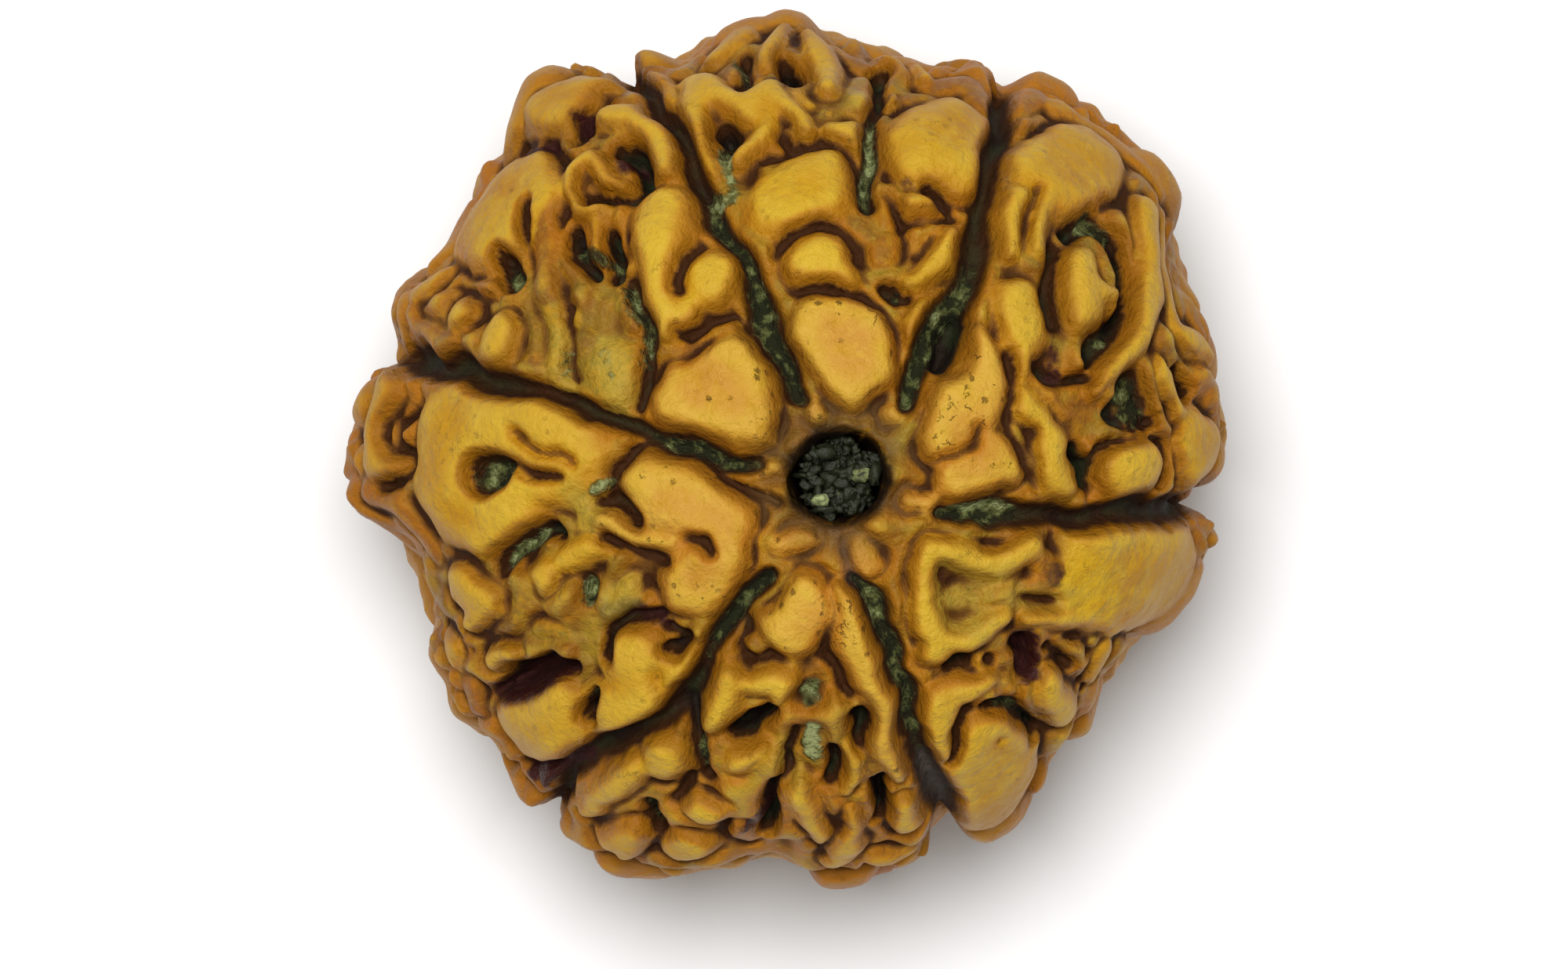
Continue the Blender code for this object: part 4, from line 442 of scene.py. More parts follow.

# Plum patches in the dark valleys and pits, a purple-brown tone with painted shade (plum), pale ground
# (straw) and dust: tone, strength, points
stainAndShadeSpots = {
    "topLeftNotch": ("plum", 0.9, (662, 192, 12), (690, 186, 12)),
    "topLeftRing": ("plum", 0.9, (738, 150, 16), (764, 140, 14)),
    "topRing": ("plum", 0.9, (796, 201, 18)),
    "lowRight": ("plum", 0.9, (1310, 830, 16), (1318, 850, 16), (1315, 872, 14)),
    "lowLeft": ("plum", 0.85, (622, 900, 16), (652, 886, 22), (690, 872, 20), (725, 860, 14)),
    "lowLeftEdge": ("plum", 0.9, (670, 1000, 14), (705, 992, 14), (740, 984, 12)),
    "leftMiddle": ("plum", 0.8, (770, 790, 12), (800, 780, 14), (846, 800, 12)),
    "bottom": ("plum", 0.8, (950, 1070, 12), (980, 1040, 14)),
    "rightLow": ("plum", 0.7, (1335, 726, 10), (1350, 748, 10)),
    "upperRight": ("plum", 0.7, (1345, 480, 11), (1352, 440, 10)),
    "top": ("plum", 0.8, (985, 105, 14), (1000, 130, 12)),
    "topAlmond": ("plum", 0.7, (1158, 232, 10), (1180, 250, 9), (1200, 262, 9)),
    "lowFrameFloor": ("straw", 0.9, (1236, 752, 24), (1250, 775, 26), (1240, 800, 22)),
    "lowFrameStep": ("straw", 0.8, (1300, 770, 16), (1360, 770, 14)),
    "lowFrameCorner": ("straw", 0.9, (1208, 735, 18), (1212, 800, 16), (1275, 735, 16)),
    "lowSeamEnd": ("dust", 0.9, (1184, 985, 12), (1198, 1025, 17), (1208, 1060, 16)),
    "boreSide": ("dust", 0.6, (1062, 675, 10), (1078, 710, 10), (1096, 745, 10)),
    "leftFloor": ("straw", 0.8, (735, 640, 18), (745, 665, 16)),
    "leftLowFloor": ("straw", 0.8, (800, 755, 16), (770, 790, 16)),
    "upperLeftFloor": ("straw", 0.7, (705, 430, 14), (712, 470, 14), (716, 500, 12)),
    "bottomFloor": ("straw", 0.7, (1000, 960, 14), (1010, 1000, 14)),
    "upperLeftPad": ("straw", 1.0, (775, 455, 22), (780, 490, 26), (784, 520, 20)),
}


def polar(x, y):  # distance from the bore, and azimuth
    dx, dy = x - boreXy[0], y - boreXy[1]
    return np.hypot(dx, dy), np.arctan2(dy, dx)


def pictureToPlan(points):
    points = np.asarray(points, float)
    cx, cy = stone["outlineCentrePx"]
    return (points[:, 0] - cx) * px, (cy - points[:, 1]) * px


def outlineTables(samples=720, harmonics=5, window=9):
    # the edge's radius by azimuth, as a smooth part and the small lobes on it
    radius, azimuth = polar(*pictureToPlan(outline))
    order = np.argsort(azimuth)
    grid = np.linspace(-math.pi, math.pi, samples, endpoint=False)
    whole = np.interp(grid, azimuth[order], radius[order], period=2 * math.pi)
    spectrum = np.fft.rfft(whole)
    spectrum[harmonics + 1:] = 0
    smooth = np.fft.irfft(spectrum, samples)
    kernel = np.hanning(window)
    lobes = whole - smooth
    padded = np.concatenate([lobes[-(window // 2):], lobes, lobes[:window // 2]])
    return grid, smooth, np.convolve(padded, kernel / kernel.sum(), "valid")


azimuthGrid, smoothEdge, edgeLobes = outlineTables()


def bodyRadius(colatitude, azimuth):
    power = stone["bodyPower"]
    edge = np.interp(azimuth, azimuthGrid, smoothEdge, period=2 * math.pi)
    lobe = np.interp(azimuth, azimuthGrid, edgeLobes, period=2 * math.pi)
    across = (np.sin(colatitude) / edge) ** power
    along = (np.abs(np.cos(colatitude)) / stone["halfHeight"]) ** power
    tilt, tiltSpread = np.radians(stone["edgeLobeTilt"])
    nearEdge = np.exp(-(((colatitude - tilt) / tiltSpread) ** 2))
    return (across + along) ** (-1 / power) + lobe * nearEdge


def bodyPoint(colatitude, azimuth):
    way = np.stack([np.sin(colatitude) * np.cos(azimuth), np.sin(colatitude) * np.sin(azimuth),
                    np.cos(colatitude)], axis=-1)
    return way * bodyRadius(colatitude, azimuth)[..., None]


def lift(points, halvings=30):  # picture pixels to points of the hull's upper half
    radius, azimuth = polar(*pictureToPlan(points))
    low = np.zeros(len(radius))
    high = np.full(len(radius), math.radians(90))
    for _ in range(halvings):
        middle = (low + high) / 2
        inside = bodyRadius(middle, azimuth) * np.sin(middle) < radius
        low = np.where(inside, middle, low)
        high = np.where(inside, high, middle)
    return bodyPoint((low + high) / 2, azimuth)


def liftChain(chain):
    return lift([point[:2] for point in chain]), np.array([point[2] for point in chain]) * px


def seamsBelow(steps=16):  # each seam goes on from the edge to the lower pole
    found = []
    for number, seam in enumerate(seams):
        end = lift([seam[-1][:2]])[0]
        startAzimuth = math.atan2(end[1], end[0])
        colatitude = np.radians(np.linspace(88, 171, steps))
        share = np.linspace(0, 1, steps)
        bend = math.radians(9) * np.sin(share * (4.2 + 0.7 * number) + 0.4) * np.sin(share * math.pi) ** 0.6
        side = 1 if number % 2 else -1
        drift = math.radians(7) * side * np.minimum(1, share * 5)
        widths = stone["lowerSeamWidth"] * (1 + 0.35 * np.sin(share * 9 + number))
        found.append((bodyPoint(colatitude, startAzimuth + drift + bend), widths))
    return found


def lowerPlates(lower):  # worn plates round the lower pole, one between each two seams
    azimuths = sorted(math.atan2(line[-1][1], line[-1][0]) for line, _ in lower)
    found = []
    for here, after in zip(azimuths, azimuths[1:] + [azimuths[0] + 2 * math.pi]):
        middle, half = (here + after) / 2, (after - here) / 2
        turn = np.array([0.0, -0.30, -0.52, 0.0, 0.50, 0.34]) * half
        fromPole = np.radians([11.5, 15, 24, 27, 23, 15])
        found.append(bodyPoint(math.pi - fromPole, middle + turn))
    return found


# A form is (level, tone, line, half widths, whether the line closes round a flat, whether it is seen)

def edgeForms():  # lobes that carry the outline seen from above
    ends = [lift([seam[-1][:2]])[0] for seam in seams]
    run, found = [], []
    for number, corner in enumerate(outline):
        _, azimuth = polar(*pictureToPlan([corner]))
        tilt = 91 + (6 if len(found) % 2 else -5) + 3 * math.sin(1.3 * number)
        point = bodyPoint(np.array([math.radians(tilt)]), azimuth)[0]
        clear = min(math.hypot(*(point - end)[:2]) for end in ends) > stone["edgeLobe"] * 0.62
        if clear:
            run.append(point)
        if run and (len(run) == 2 or not clear or corner == outline[-1]):
            level = (-0.06 - 0.06 * math.sin(1.7 * number)) * mm
            radius = stone["edgeLobe"] * (1 + 0.17 * math.sin(2.3 * number))
            found.append((level, "gold", np.array(run), np.full(len(run), radius), False, False))
            run = []
    return found


def grownForms(centres, radii):  # knobs thrown on the unseen part, clear of what is there
    random = np.random.default_rng(stone["growthSeed"])
    found = []
    for number in range(stone["growthTries"]):
        large = number < stone["growthTries"] * stone["growthLarge"]
        height = random.uniform(math.cos(math.radians(stone["growthLow"])),
                                math.cos(math.radians(stone["growthTop"])))
        colatitude, azimuth = math.acos(height), random.uniform(-math.pi, math.pi)
        radius = random.uniform(*stone["largeKnob" if large else "smallKnob"])
        heading = random.uniform(0, 2 * math.pi)
        points, widths = [], []
        for _ in range(random.integers(2, 6) if large else 1):
            point = bodyPoint(np.array([colatitude]), np.array([azimuth]))[0]
            if np.any(np.linalg.norm(centres - point, axis=1) <= radii + radius + stone["knobGap"]):
                break
            points.append(point)
            widths.append(radius)
            stride = radius * random.uniform(0.9, 1.5) / np.linalg.norm(point)
            heading += random.uniform(-0.7, 0.7)
            colatitude += stride * math.cos(heading)
            azimuth += stride * math.sin(heading) / max(math.sin(colatitude), 0.2)
            radius *= random.uniform(0.82, 1.12)
        if points:
            centres = np.vstack([centres, points])
            radii = np.append(radii, widths)
            level = -0.35 * mm * random.random() ** 2
            found.append((level, "gold", np.array(points), np.array(widths), False, False))
    return found


def rounded(corners, shoulder, roundness):  # a smaller flat with wider shoulders, for the same edge
    outward = corners - corners.mean(axis=0)
    return corners - outward * roundness, shoulder + np.linalg.norm(outward, axis=1) * roundness * 0.92


def allForms(lower):
    found, full = [], stone["fullness"]
    for level, shoulder, tone, *corners in plates.values():
        top, widths = rounded(lift(corners), shoulder * px * full, 0.15 if tone == "tan" else 0.5)
        found.append((level * mm, tone, top, widths, True, True))
    for level, tone, *crest in ridges.values():
        line, widths = liftChain(crest)
        found.append((level * mm, tone, line, widths * full, False, True))
    for corners in lowerPlates(lower):
        found.append((0.0, "tan", corners, np.full(len(corners), stone["lowerPlateShoulder"]), True, False))
    found.extend(edgeForms())
    taken = [form[2] for form in found] + [line for line, _ in lower]
    radii = [form[3] for form in found] + [widths * 0.8 for _, widths in lower]
    for seam in seams:
        line, widths = liftChain(seam)
        taken.append(line)
        radii.append(widths)
    return found + grownForms(np.vstack(taken), np.concatenate(radii))


def waves(points, wavelength, seed, count=12):  # smooth seeded noise of about unit size
    random = np.random.default_rng(seed)
    ways = random.normal(size=(count, 3))
    ways /= np.linalg.norm(ways, axis=1)[:, None]
    ways *= (2 * math.pi / wavelength) * random.uniform(0.6, 1.4, count)[:, None]
    return np.sin(points @ ways.T + random.uniform(0, 2 * math.pi, count)).sum(1) / math.sqrt(count / 2)


def chainShare(points, line, widths):  # distance to a line as a share of its half width there
    if len(line) == 1:
        return np.linalg.norm(points - line[0], axis=1) / widths[0]
    share = np.full(len(points), np.inf)
    for start, end, width, nextWidth in zip(line, line[1:], widths, widths[1:]):
        way = end - start
        along = np.clip((points - start) @ way / max(way @ way, 1e-18), 0, 1)
        gap = np.linalg.norm(points - start - along[:, None] * way, axis=1)
        share = np.minimum(share, gap / (width + (nextWidth - width) * along))
    return share


def insideCorners(points, corners):
    middle = corners.mean(axis=0)
    normal = middle / np.linalg.norm(middle)
    across = np.cross(normal, [0.31, 0.83, 0.46])  # any way that isn't the normal
    across /= np.linalg.norm(across)
    plane = np.stack([across, np.cross(normal, across)], axis=1)
    flat, ring = (points - middle) @ plane, (corners - middle) @ plane
    inside = np.zeros(len(points), bool)
    for (ax, ay), (bx, by) in zip(ring, np.roll(ring, -1, axis=0)):
        if ay != by:
            crosses = (flat[:, 1] < ay) != (flat[:, 1] < by)
            inside ^= crosses & (flat[:, 0] < ax + (flat[:, 1] - ay) / (by - ay) * (bx - ax))
    return inside


def near(points, line, reach):  # numbers of the points that a line can touch
    middle = line.mean(axis=0)
    ball = np.linalg.norm(line - middle, axis=1).max() + reach
    return np.nonzero(np.linalg.norm(points - middle, axis=1) < ball)[0]


def smoothMax(a, b, width=stone["blend"]):
    return np.maximum(a, b) + np.maximum(0, width - np.abs(a - b)) ** 2 / (4 * width)


def formShare(points, line, widths, closed, seen, reach=0.6 * mm):
    if seen:
        points, line = points * stone["seenStretch"], line * stone["seenStretch"]
    index = near(points, line, widths.max() + reach)
    wholeLine = np.vstack([line, line[:1]]) if closed else line
    wholeWidths = np.append(widths, widths[0]) if closed else widths
    share = chainShare(points[index], wholeLine, wholeWidths)
    if closed:
        share[insideCorners(points[index], line)] = 0
    return index, share


def cutLine(height, points, depth, steepness, line, widths, seen=False):
    if seen:
        points, line = points * stone["seenStretch"], line * stone["seenStretch"]
    index = near(points, line, widths.max() * 1.6)
    share = chainShare(points[index], line, widths)
    level = -depth + (depth + stone["cutRise"]) * share ** steepness
    height[index] = -smoothMax(-height[index], -level)
    return index, share


def stepUp(share):
    return share * share * (3 - 2 * share)


def groundLevel(points):  # between the knobs: fuller round the edge, lower on the lower half
    bandHeight, bandSpread = stone["limbBand"]
    edge = np.exp(-(((points[:, 2] - bandHeight) / bandSpread) ** 2))
    below = stepUp(np.clip(-points[:, 2] / stone["lowerFall"], 0, 1))
    return stone["floorLevel"] + stone["limbFill"] * edge - stone["lowerDepth"] * below


def strengthen(mask, index, values):
    mask[index] = np.maximum(mask[index], values)


def raiseForms(height, masks, points, forms):
    shares = [formShare(points, *form[2:]) for form in forms]
    clearance = np.full(len(points), np.inf)
    for (index, share), form in zip(shares, forms):
        clearance[index] = np.minimum(clearance[index], (share - 1) * form[3].mean())
    height -= stone["creaseDepth"] * np.exp(-((np.maximum(clearance, 0) / stone["creaseWidth"]) ** 2))
    foot = np.minimum(groundLevel(points), stone["floorLevel"]) - stone["creaseDepth"]
    power = stone["domePower"]
    for (index, share), (level, tone, *_) in zip(shares, forms):
        dome = np.clip(1 - share ** power, 0, 1) ** (1 / power)
        lifted = foot[index] + (level - foot[index]) * dome
        wins = (share < 1) & (lifted > height[index] - 0.05 * mm)
        for name in ("tan", "gold", "khaki", "brown"):
            kept, covered = masks[name][index], dome if name == tone else 0
            masks[name][index] = np.where(wins, covered + (name != tone) * kept * (1 - dome), kept)
        height[index] = np.where(share < 1, smoothMax(height[index], lifted), height[index])


def cutSeams(height, masks, points, moved, lower):
    def seamMasks(index, share, green):
        strengthen(masks["seam"], index, green * np.clip(1.45 - 1.7 * share, 0, 1))
        strengthen(masks["seamWall"], index, np.clip(2.2 - 2 * share, 0, 1))

    for seam, reach in zip(seams, stone["seamGreenReach"]):
        line, widths = liftChain(seam)
        widths = widths * stone["seamFullness"]
        index, share = cutLine(height, moved, stone["seamDepth"], 3, line, widths, seen=True)
        away = np.hypot(points[index, 0], points[index, 1]) / px
        seamMasks(index, share, np.clip((reach + 40 - away) / 80, 0, 1))
    for line, widths in lower:
        seamMasks(*cutLine(height, moved, stone["lowerSeamDepth"], 3, line, widths), 0.6)


def fillWithPulp(height, masks, points):
    for strength, paleness, *spot in pulpSpots.values():
        index, share = formShare(points, *liftChain(spot), False, True)
        value = np.clip(1.6 - 1.4 * share, 0, 1)
        strengthen(masks["pulp"], index, strength * value)
        strengthen(masks["pulpPale"], index, (paleness - 0.3) * value)
        fill = stone["pulpLevel"] - 0.6 * mm * np.clip(share - 0.8, 0, 2)
        fill += 0.05 * mm * waves(points[index], 0.45 * mm, 61)
        height[index] = smoothMax(height[index], fill)


def relief(points):  # height over the hull in metres, and the masks that the finish reads
    unseenTop, unseenFall = stone["unseenBelow"]
    unseen = np.clip((unseenTop - points[:, 2]) / unseenFall, 0, 1)
    wander = np.stack([waves(points, 1.7 * mm, 21 + axis) for axis in range(3)], axis=1) * stone["wander"]
    fineWander = np.stack([waves(points, 0.6 * mm, 31 + axis) for axis in range(3)], axis=1)
    fineWander *= stone["fineWander"]
    moved = points + wander * (1 + 1.3 * unseen[:, None]) + fineWander * (1 + 0.4 * unseen[:, None])
    masks = {name: np.zeros(len(points)) for name in (
        "tan", "gold", "khaki", "brown", "pulp", "pulpPale", "seam", "seamWall", "plum", "straw", "dust")}

    height = groundLevel(points) + stone["groundWaves"] * waves(points, 1.5 * mm, 41)
    lower = seamsBelow()
    raiseForms(height, masks, moved, allForms(lower))
    for depth, steepness, *pit in cuts.values():
        line, widths = liftChain(pit)
        widths = np.maximum(widths, stone["narrowestCut"] * px)
        cutLine(height, moved, depth * mm, steepness, line, widths, seen=True)
    cutSeams(height, masks, points, moved, lower)
    dishDepth, dishWidth = stone["poleDish"]
    for pole in (stone["halfHeight"], -stone["halfHeight"]):
        cutLine(height, moved, dishDepth, 2.4, np.array([[0, 0, pole]]), np.array([dishWidth]))
    fillWithPulp(height, masks, moved)
    for tone, strength, *spot in stainAndShadeSpots.values():
        index, share = formShare(moved, *liftChain(spot), False, True)
        strengthen(masks[tone], index, strength * np.clip(1.7 - 1.1 * share, 0, 1))

    height += sum(size * waves(points, wavelength, seed) for size, wavelength, seed in stone["ripples"])
    size, wavelength, seed = stone["unseenRipple"]
    height += unseen * size * waves(points, wavelength, seed)
    return np.maximum(height, stone["deepestLevel"]), masks


def smoothed(values, edges, rounds, share=0.5):
    count = np.bincount(edges.ravel(), minlength=len(values))
    for _ in range(rounds):
        total = np.bincount(edges[:, 0], values[edges[:, 1]], len(values))
        total += np.bincount(edges[:, 1], values[edges[:, 0]], len(values))
        values = values + share * (total / count - values)
    return values


def readVectors(collection, name):
    values = np.empty(len(collection) * 3)
    collection.foreach_get(name, values)
    return values.reshape(-1, 3)


def setMask(mesh, name, values):
    layer = mesh.attributes.new(name, "FLOAT", "POINT")
    layer.data.foreach_set("value", np.asarray(values, np.float32))


def makeStone():
    bpy.ops.mesh.primitive_ico_sphere_add(subdivisions=stone["sphereLevel"], radius=1)
    obj = bpy.context.object
    obj.name = "rudraksha"
    mesh = obj.data
    ball = readVectors(mesh.vertices, "co")
    ball /= np.linalg.norm(ball, axis=1)[:, None]
    edges = np.empty(len(mesh.edges) * 2, np.int32)
    mesh.edges.foreach_get("vertices", edges)
    edges = edges.reshape(-1, 2)
    colatitude, azimuth = np.arccos(np.clip(ball[:, 2], -1, 1)), np.arctan2(ball[:, 1], ball[:, 0])
    hull = ball * bodyRadius(colatitude, azimuth)[:, None]
    height, masks = relief(hull)
    height = smoothed(height, edges, 3)
    way = ball.copy()  # the relief stands outward, and leans up over the upper shoulder
    way[:, 2] += stepUp(np.clip(hull[:, 2] / stone["shoulderHeight"], 0, 1))
    way /= np.linalg.norm(way, axis=1)[:, None]
    centre = np.array([boreXy[0], boreXy[1], stone["restBelowEquator"]])
    mesh.vertices.foreach_set("co", (hull + way * height[:, None] + centre).ravel())
    mesh.update()

    normals = readVectors(mesh.vertices, "normal")
    hullWay = hull / np.array([1.0, 1.0, 0.85]) ** 2  # about straight out of the smooth hull
    hullWay /= np.linalg.norm(hullWay, axis=1)[:, None]
    steep = np.clip(1 - np.einsum("ij,ij->i", normals, hullWay), 0, 1)
    for name, values in (*masks.items(), ("steep", steep)):
        setMask(mesh, name, smoothed(values, edges, 2))
    for name, (rounds, depth, most) in creaseMasks.items():
        setMask(mesh, name, np.clip((smoothed(height, edges, rounds) - height) / depth, -most, most))
    setMask(mesh, "level", height / mm)
    # the flanks, where their painted shade goes
    setMask(mesh, "flank", np.exp(-(((hullWay[:, 2] - 0.04) / 0.44) ** 2)))
    return obj


def asObject(made, name):
    mesh = bpy.data.meshes.new(name)
    made.to_mesh(mesh)
    made.free()
    obj = bpy.data.objects.new(name, mesh)
    bpy.context.scene.collection.objects.link(obj)
    return obj


def makeBoreTool():  # the natural channel: a wavy tube that is wider at both mouths
    tube = bmesh.new()
    sides, top = 72, stone["restBelowEquator"] + stone["halfHeight"]
    levels = ((top + 1.0 * mm, 1.22), (top - 0.2 * mm, 1.16), (top - 1.3 * mm, 1.08), (top - 2.6 * mm, 1.0),
              (top - 4.0 * mm, 0.80), (top * 0.6, 0.75), (top * 0.3, 0.75), (3.0 * mm, 0.8),
              (1.4 * mm, 1.0), (-1.0 * mm, 1.2))
    rings = []
    for z, size in levels:
        ring = []
        for side in range(sides):
            turn = 2 * math.pi * side / sides
            wave = sum(part * math.sin(lobes * turn + phase + twist * z)
                       for lobes, part, phase, twist in boreWaves)
            radius = stone["boreRadius"] * size * (1 + wave)
            ring.append(tube.verts.new((boreXy[0] + radius * math.cos(turn),
                                        boreXy[1] + radius * math.sin(turn), z)))
        rings.append(ring)
    for upper, below in zip(rings, rings[1:]):
        for side in range(sides):
            after = (side + 1) % sides
            tube.faces.new((upper[after], upper[side], below[side], below[after]))
    tube.faces.new(rings[0])
    tube.faces.new(list(reversed(rings[-1])))
    bmesh.ops.recalc_face_normals(tube, faces=tube.faces)
    return asObject(tube, "boreTool")


def applyModifier(obj, modifier):
    bpy.context.view_layer.objects.active = obj
    bpy.ops.object.modifier_apply(modifier=modifier.name)


def carve(obj, tool):
    cut = obj.modifiers.new("cut", "BOOLEAN")
    cut.operation = "DIFFERENCE"
    cut.object = tool
    cut.solver = "MANIFOLD"
    applyModifier(obj, cut)
    bpy.data.objects.remove(tool)


def finishStone(obj):  # bored, set flat on the ground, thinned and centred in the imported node's box
    carve(obj, makeBoreTool())
    side = 0.05
    bpy.ops.mesh.primitive_cube_add(size=side, location=(0, 0, -side / 2))
    carve(obj, bpy.context.object)
    thin = obj.modifiers.new("thin", "DECIMATE")
    thin.ratio = stone["triangles"] / sum(len(face.vertices) - 2 for face in obj.data.polygons)
    applyModifier(obj, thin)
    low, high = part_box("rudraksha_stone")
    points = readVectors(obj.data.vertices, "co")
    shift = np.array([(low.x + high.x) / 2, (low.y + high.y) / 2]) - (points.max(0) + points.min(0))[:2] / 2
    points[:, :2] += shift
    obj.data.vertices.foreach_set("co", points.ravel())
    away = np.hypot(points[:, 0] - boreXy[0] - shift[0], points[:, 1] - boreXy[1] - shift[1])
    rimStart, rimWidth = stone["boreRim"]
    # the bore mask carries the darker rim and the painted shade of the bore's mouth
    setMask(obj.data, "bore", np.clip((rimStart - away) / rimWidth, 0, 1))
    obj.data.shade_smooth()
    obj.data.update()
    return shift


bead = makeStone()
print("stone relief done")
beadShift = finishStone(bead)
print("bore and resting face cut,", len(bead.data.polygons), "faces")


# The finish: colours of the stone and of the pulp that dried on it, with the painted shade and highlight on
# them
finish = {
    "gold": (0.60, 0.362, 0.012),
    "goldDeep": (0.49, 0.236, 0.006),
    # goldPale is also the painted highlight on the crests
    "goldPale": (0.68, 0.46, 0.045),
    "tan": (0.56, 0.268, 0.034),
    "khaki": (0.28, 0.190, 0.018),
    "brown": (0.15, 0.055, 0.007),
    # amber: a tone of the brown knobs, and the painted shade of the low ground and knob sides
    "amber": (0.27, 0.100, 0.005),
    # limb: the painted shade of the flanks
    "limb": (0.35, 0.108, 0.004),
    # fringe: the first, orange step of the painted shade down the knob sides
    "fringe": (0.46, 0.155, 0.005),
    "stain": (0.38, 0.130, 0.006),
    # plum: a purple-brown tone, dark as painted shade
    "plum": (0.040, 0.009, 0.007),
    "dust": (0.085, 0.066, 0.055),
    "straw": (0.44, 0.315, 0.040),
    # rim: darker brown round the bore, partly painted shade
    "rim": (0.13, 0.066, 0.018),
    # crease and darkest: painted shade in the creases, seams, pits and bore; crease also darkens the pores
    # and cracks
    "crease": (0.046, 0.014, 0.002),
    "darkest": (0.012, 0.006, 0.003),
    "pulpDark": (0.020, 0.023, 0.008),
    "pulp": (0.125, 0.138, 0.040),
    "pulpPale": (0.38, 0.43, 0.18),
}
stoneGloss = 0.15
stoneBump = (0.85, 0.00014)  # strength, distance
poreScale = 2100
clouds = {  # noises on the stone: scale per metre, detail, roughness
    "broad": (260, 3, 0.55),
    "middling": (900, 4, 0.55),
    "small": (4200, 4, 0.60),
    "hair": (16000, 3, 0.60),
    "blotch": (520, 5, 0.60),
    "grain": (2300, 5, 0.65),
    "drift": (640, 4, 0.55),
    "winding": (620, 5, 0.62),
    "crackPatch": (420, 2, 0.55),
    "lumps": (1700, 3, 0.55),
}
stoneMasks = ("tan", "gold", "khaki", "brown", "pulp", "pulpPale", "seam", "seamWall", "plum", "straw",
              "dust", "steep", "fineCrease", "wideCrease", "level", "flank", "bore")
pulpPatches = (2400, 3, 0.55)
pulpGrain = (9000, 4, 0.65)


def addNode(tree, kind, **values):
    node = tree.nodes.new(kind)
    for name, value in values.items():
        setattr(node, name, value)
    return node


def feed(socket, value):  # a link from a socket, a colour by name or a plain value
    if isinstance(value, bpy.types.NodeSocket):
        socket.id_data.links.new(value, socket)
    elif isinstance(value, str):
        socket.default_value = (*finish[value], 1)
    else:
        socket.default_value = value


def reckon(operation, a, b=0.0):
    node = addNode(a.id_data, "ShaderNodeMath", operation=operation)
    feed(node.inputs[0], a)
    feed(node.inputs[1], b)
    return node.outputs[0]


def plus(a, b):
    return reckon("ADD", a, b)


def minus(a, b):
    return reckon("SUBTRACT", a, b)


def times(a, b):
    return reckon("MULTIPLY", a, b)


def larger(a, b):
    return reckon("MAXIMUM", a, b)


def sway(cloud, size):  # a noise as a push either way
    return times(minus(cloud, 0.5), size)


def spread(value, low, high, toLow=0.0, toHigh=1.0):
    node = addNode(value.id_data, "ShaderNodeMapRange", interpolation_type="SMOOTHSTEP")
    for socket, given in zip(node.inputs, (value, low, high, toLow, toHigh)):
        feed(socket, given)
    return node.outputs[0]


def blend(share, a, b):
    node = addNode(share.id_data, "ShaderNodeMix", data_type="RGBA")
    for number, given in ((0, share), (6, a), (7, b)):  # 6 and 7 are its colour sockets
        feed(node.inputs[number], given)
    return node.outputs[2]


def layered(colour, coats):
    for share, tone in coats:
        colour = blend(share, colour, tone)
    return colour


def mask(tree, name):
    return addNode(tree, "ShaderNodeAttribute", attribute_name=name).outputs["Fac"]


def noise(where, scale, detail, rough):
    node = addNode(where.id_data, "ShaderNodeTexNoise")
    for name, value in (("Vector", where), ("Scale", scale), ("Detail", detail), ("Roughness", rough)):
        feed(node.inputs[name], value)
    return node.outputs["Fac"]


def newMaterial(name):
    material = bpy.data.materials.new(name)
    material.use_nodes = True
    return material, material.node_tree, material.node_tree.nodes["Principled BSDF"]


def setBump(shader, height, strength, distance):
    bump = addNode(shader.id_data, "ShaderNodeBump")
    for name, value in (("Strength", strength), ("Distance", distance), ("Height", height)):
        feed(bump.inputs[name], value)
    feed(shader.inputs["Normal"], bump.outputs["Normal"])


def makeGroup(name, ins, outs):
    group = bpy.data.node_groups.new(name, "ShaderNodeTree")
    for label, kind, value in ins:
        group.interface.new_socket(name=label, in_out="INPUT", socket_type=kind).default_value = value
    for label, kind in outs:
        group.interface.new_socket(name=label, in_out="OUTPUT", socket_type=kind)
    return group, group.nodes.new("NodeGroupInput"), group.nodes.new("NodeGroupOutput")


def useGroup(tree, group, **values):
    node = addNode(tree, "ShaderNodeGroup", node_tree=group)
    for name, value in values.items():
        feed(node.inputs[name], value)
    return node


def makeDriedPulp():  # crumbly dried pulp, for the film on the stone and the crumbs in the bore
    group, given, out = makeGroup(
        "driedPulp",
        [("Paleness", "NodeSocketFloat", 0.3), ("Scale", "NodeSocketFloat", 1.0)],
        [("Colour", "NodeSocketColor"), ("Grain", "NodeSocketFloat")],
    )
    size = addNode(group, "ShaderNodeVectorMath", operation="SCALE")
    feed(size.inputs[0], addNode(group, "ShaderNodeTexCoord").outputs["Object"])
    feed(size.inputs["Scale"], given.outputs["Scale"])
    patches = noise(size.outputs[0], *pulpPatches)
    grain = noise(size.outputs[0], *pulpGrain)
    light = plus(plus(times(patches, 2.6), times(grain, 0.9)), times(given.outputs["Paleness"], 0.8))
    dark = blend(spread(light, 1.62, 2.05), "pulpDark", "pulp")
    feed(out.inputs["Colour"], blend(spread(light, 2.00, 2.50), dark, "pulpPale"))
    feed(out.inputs["Grain"], grain)
    return group


driedPulp = makeDriedPulp()


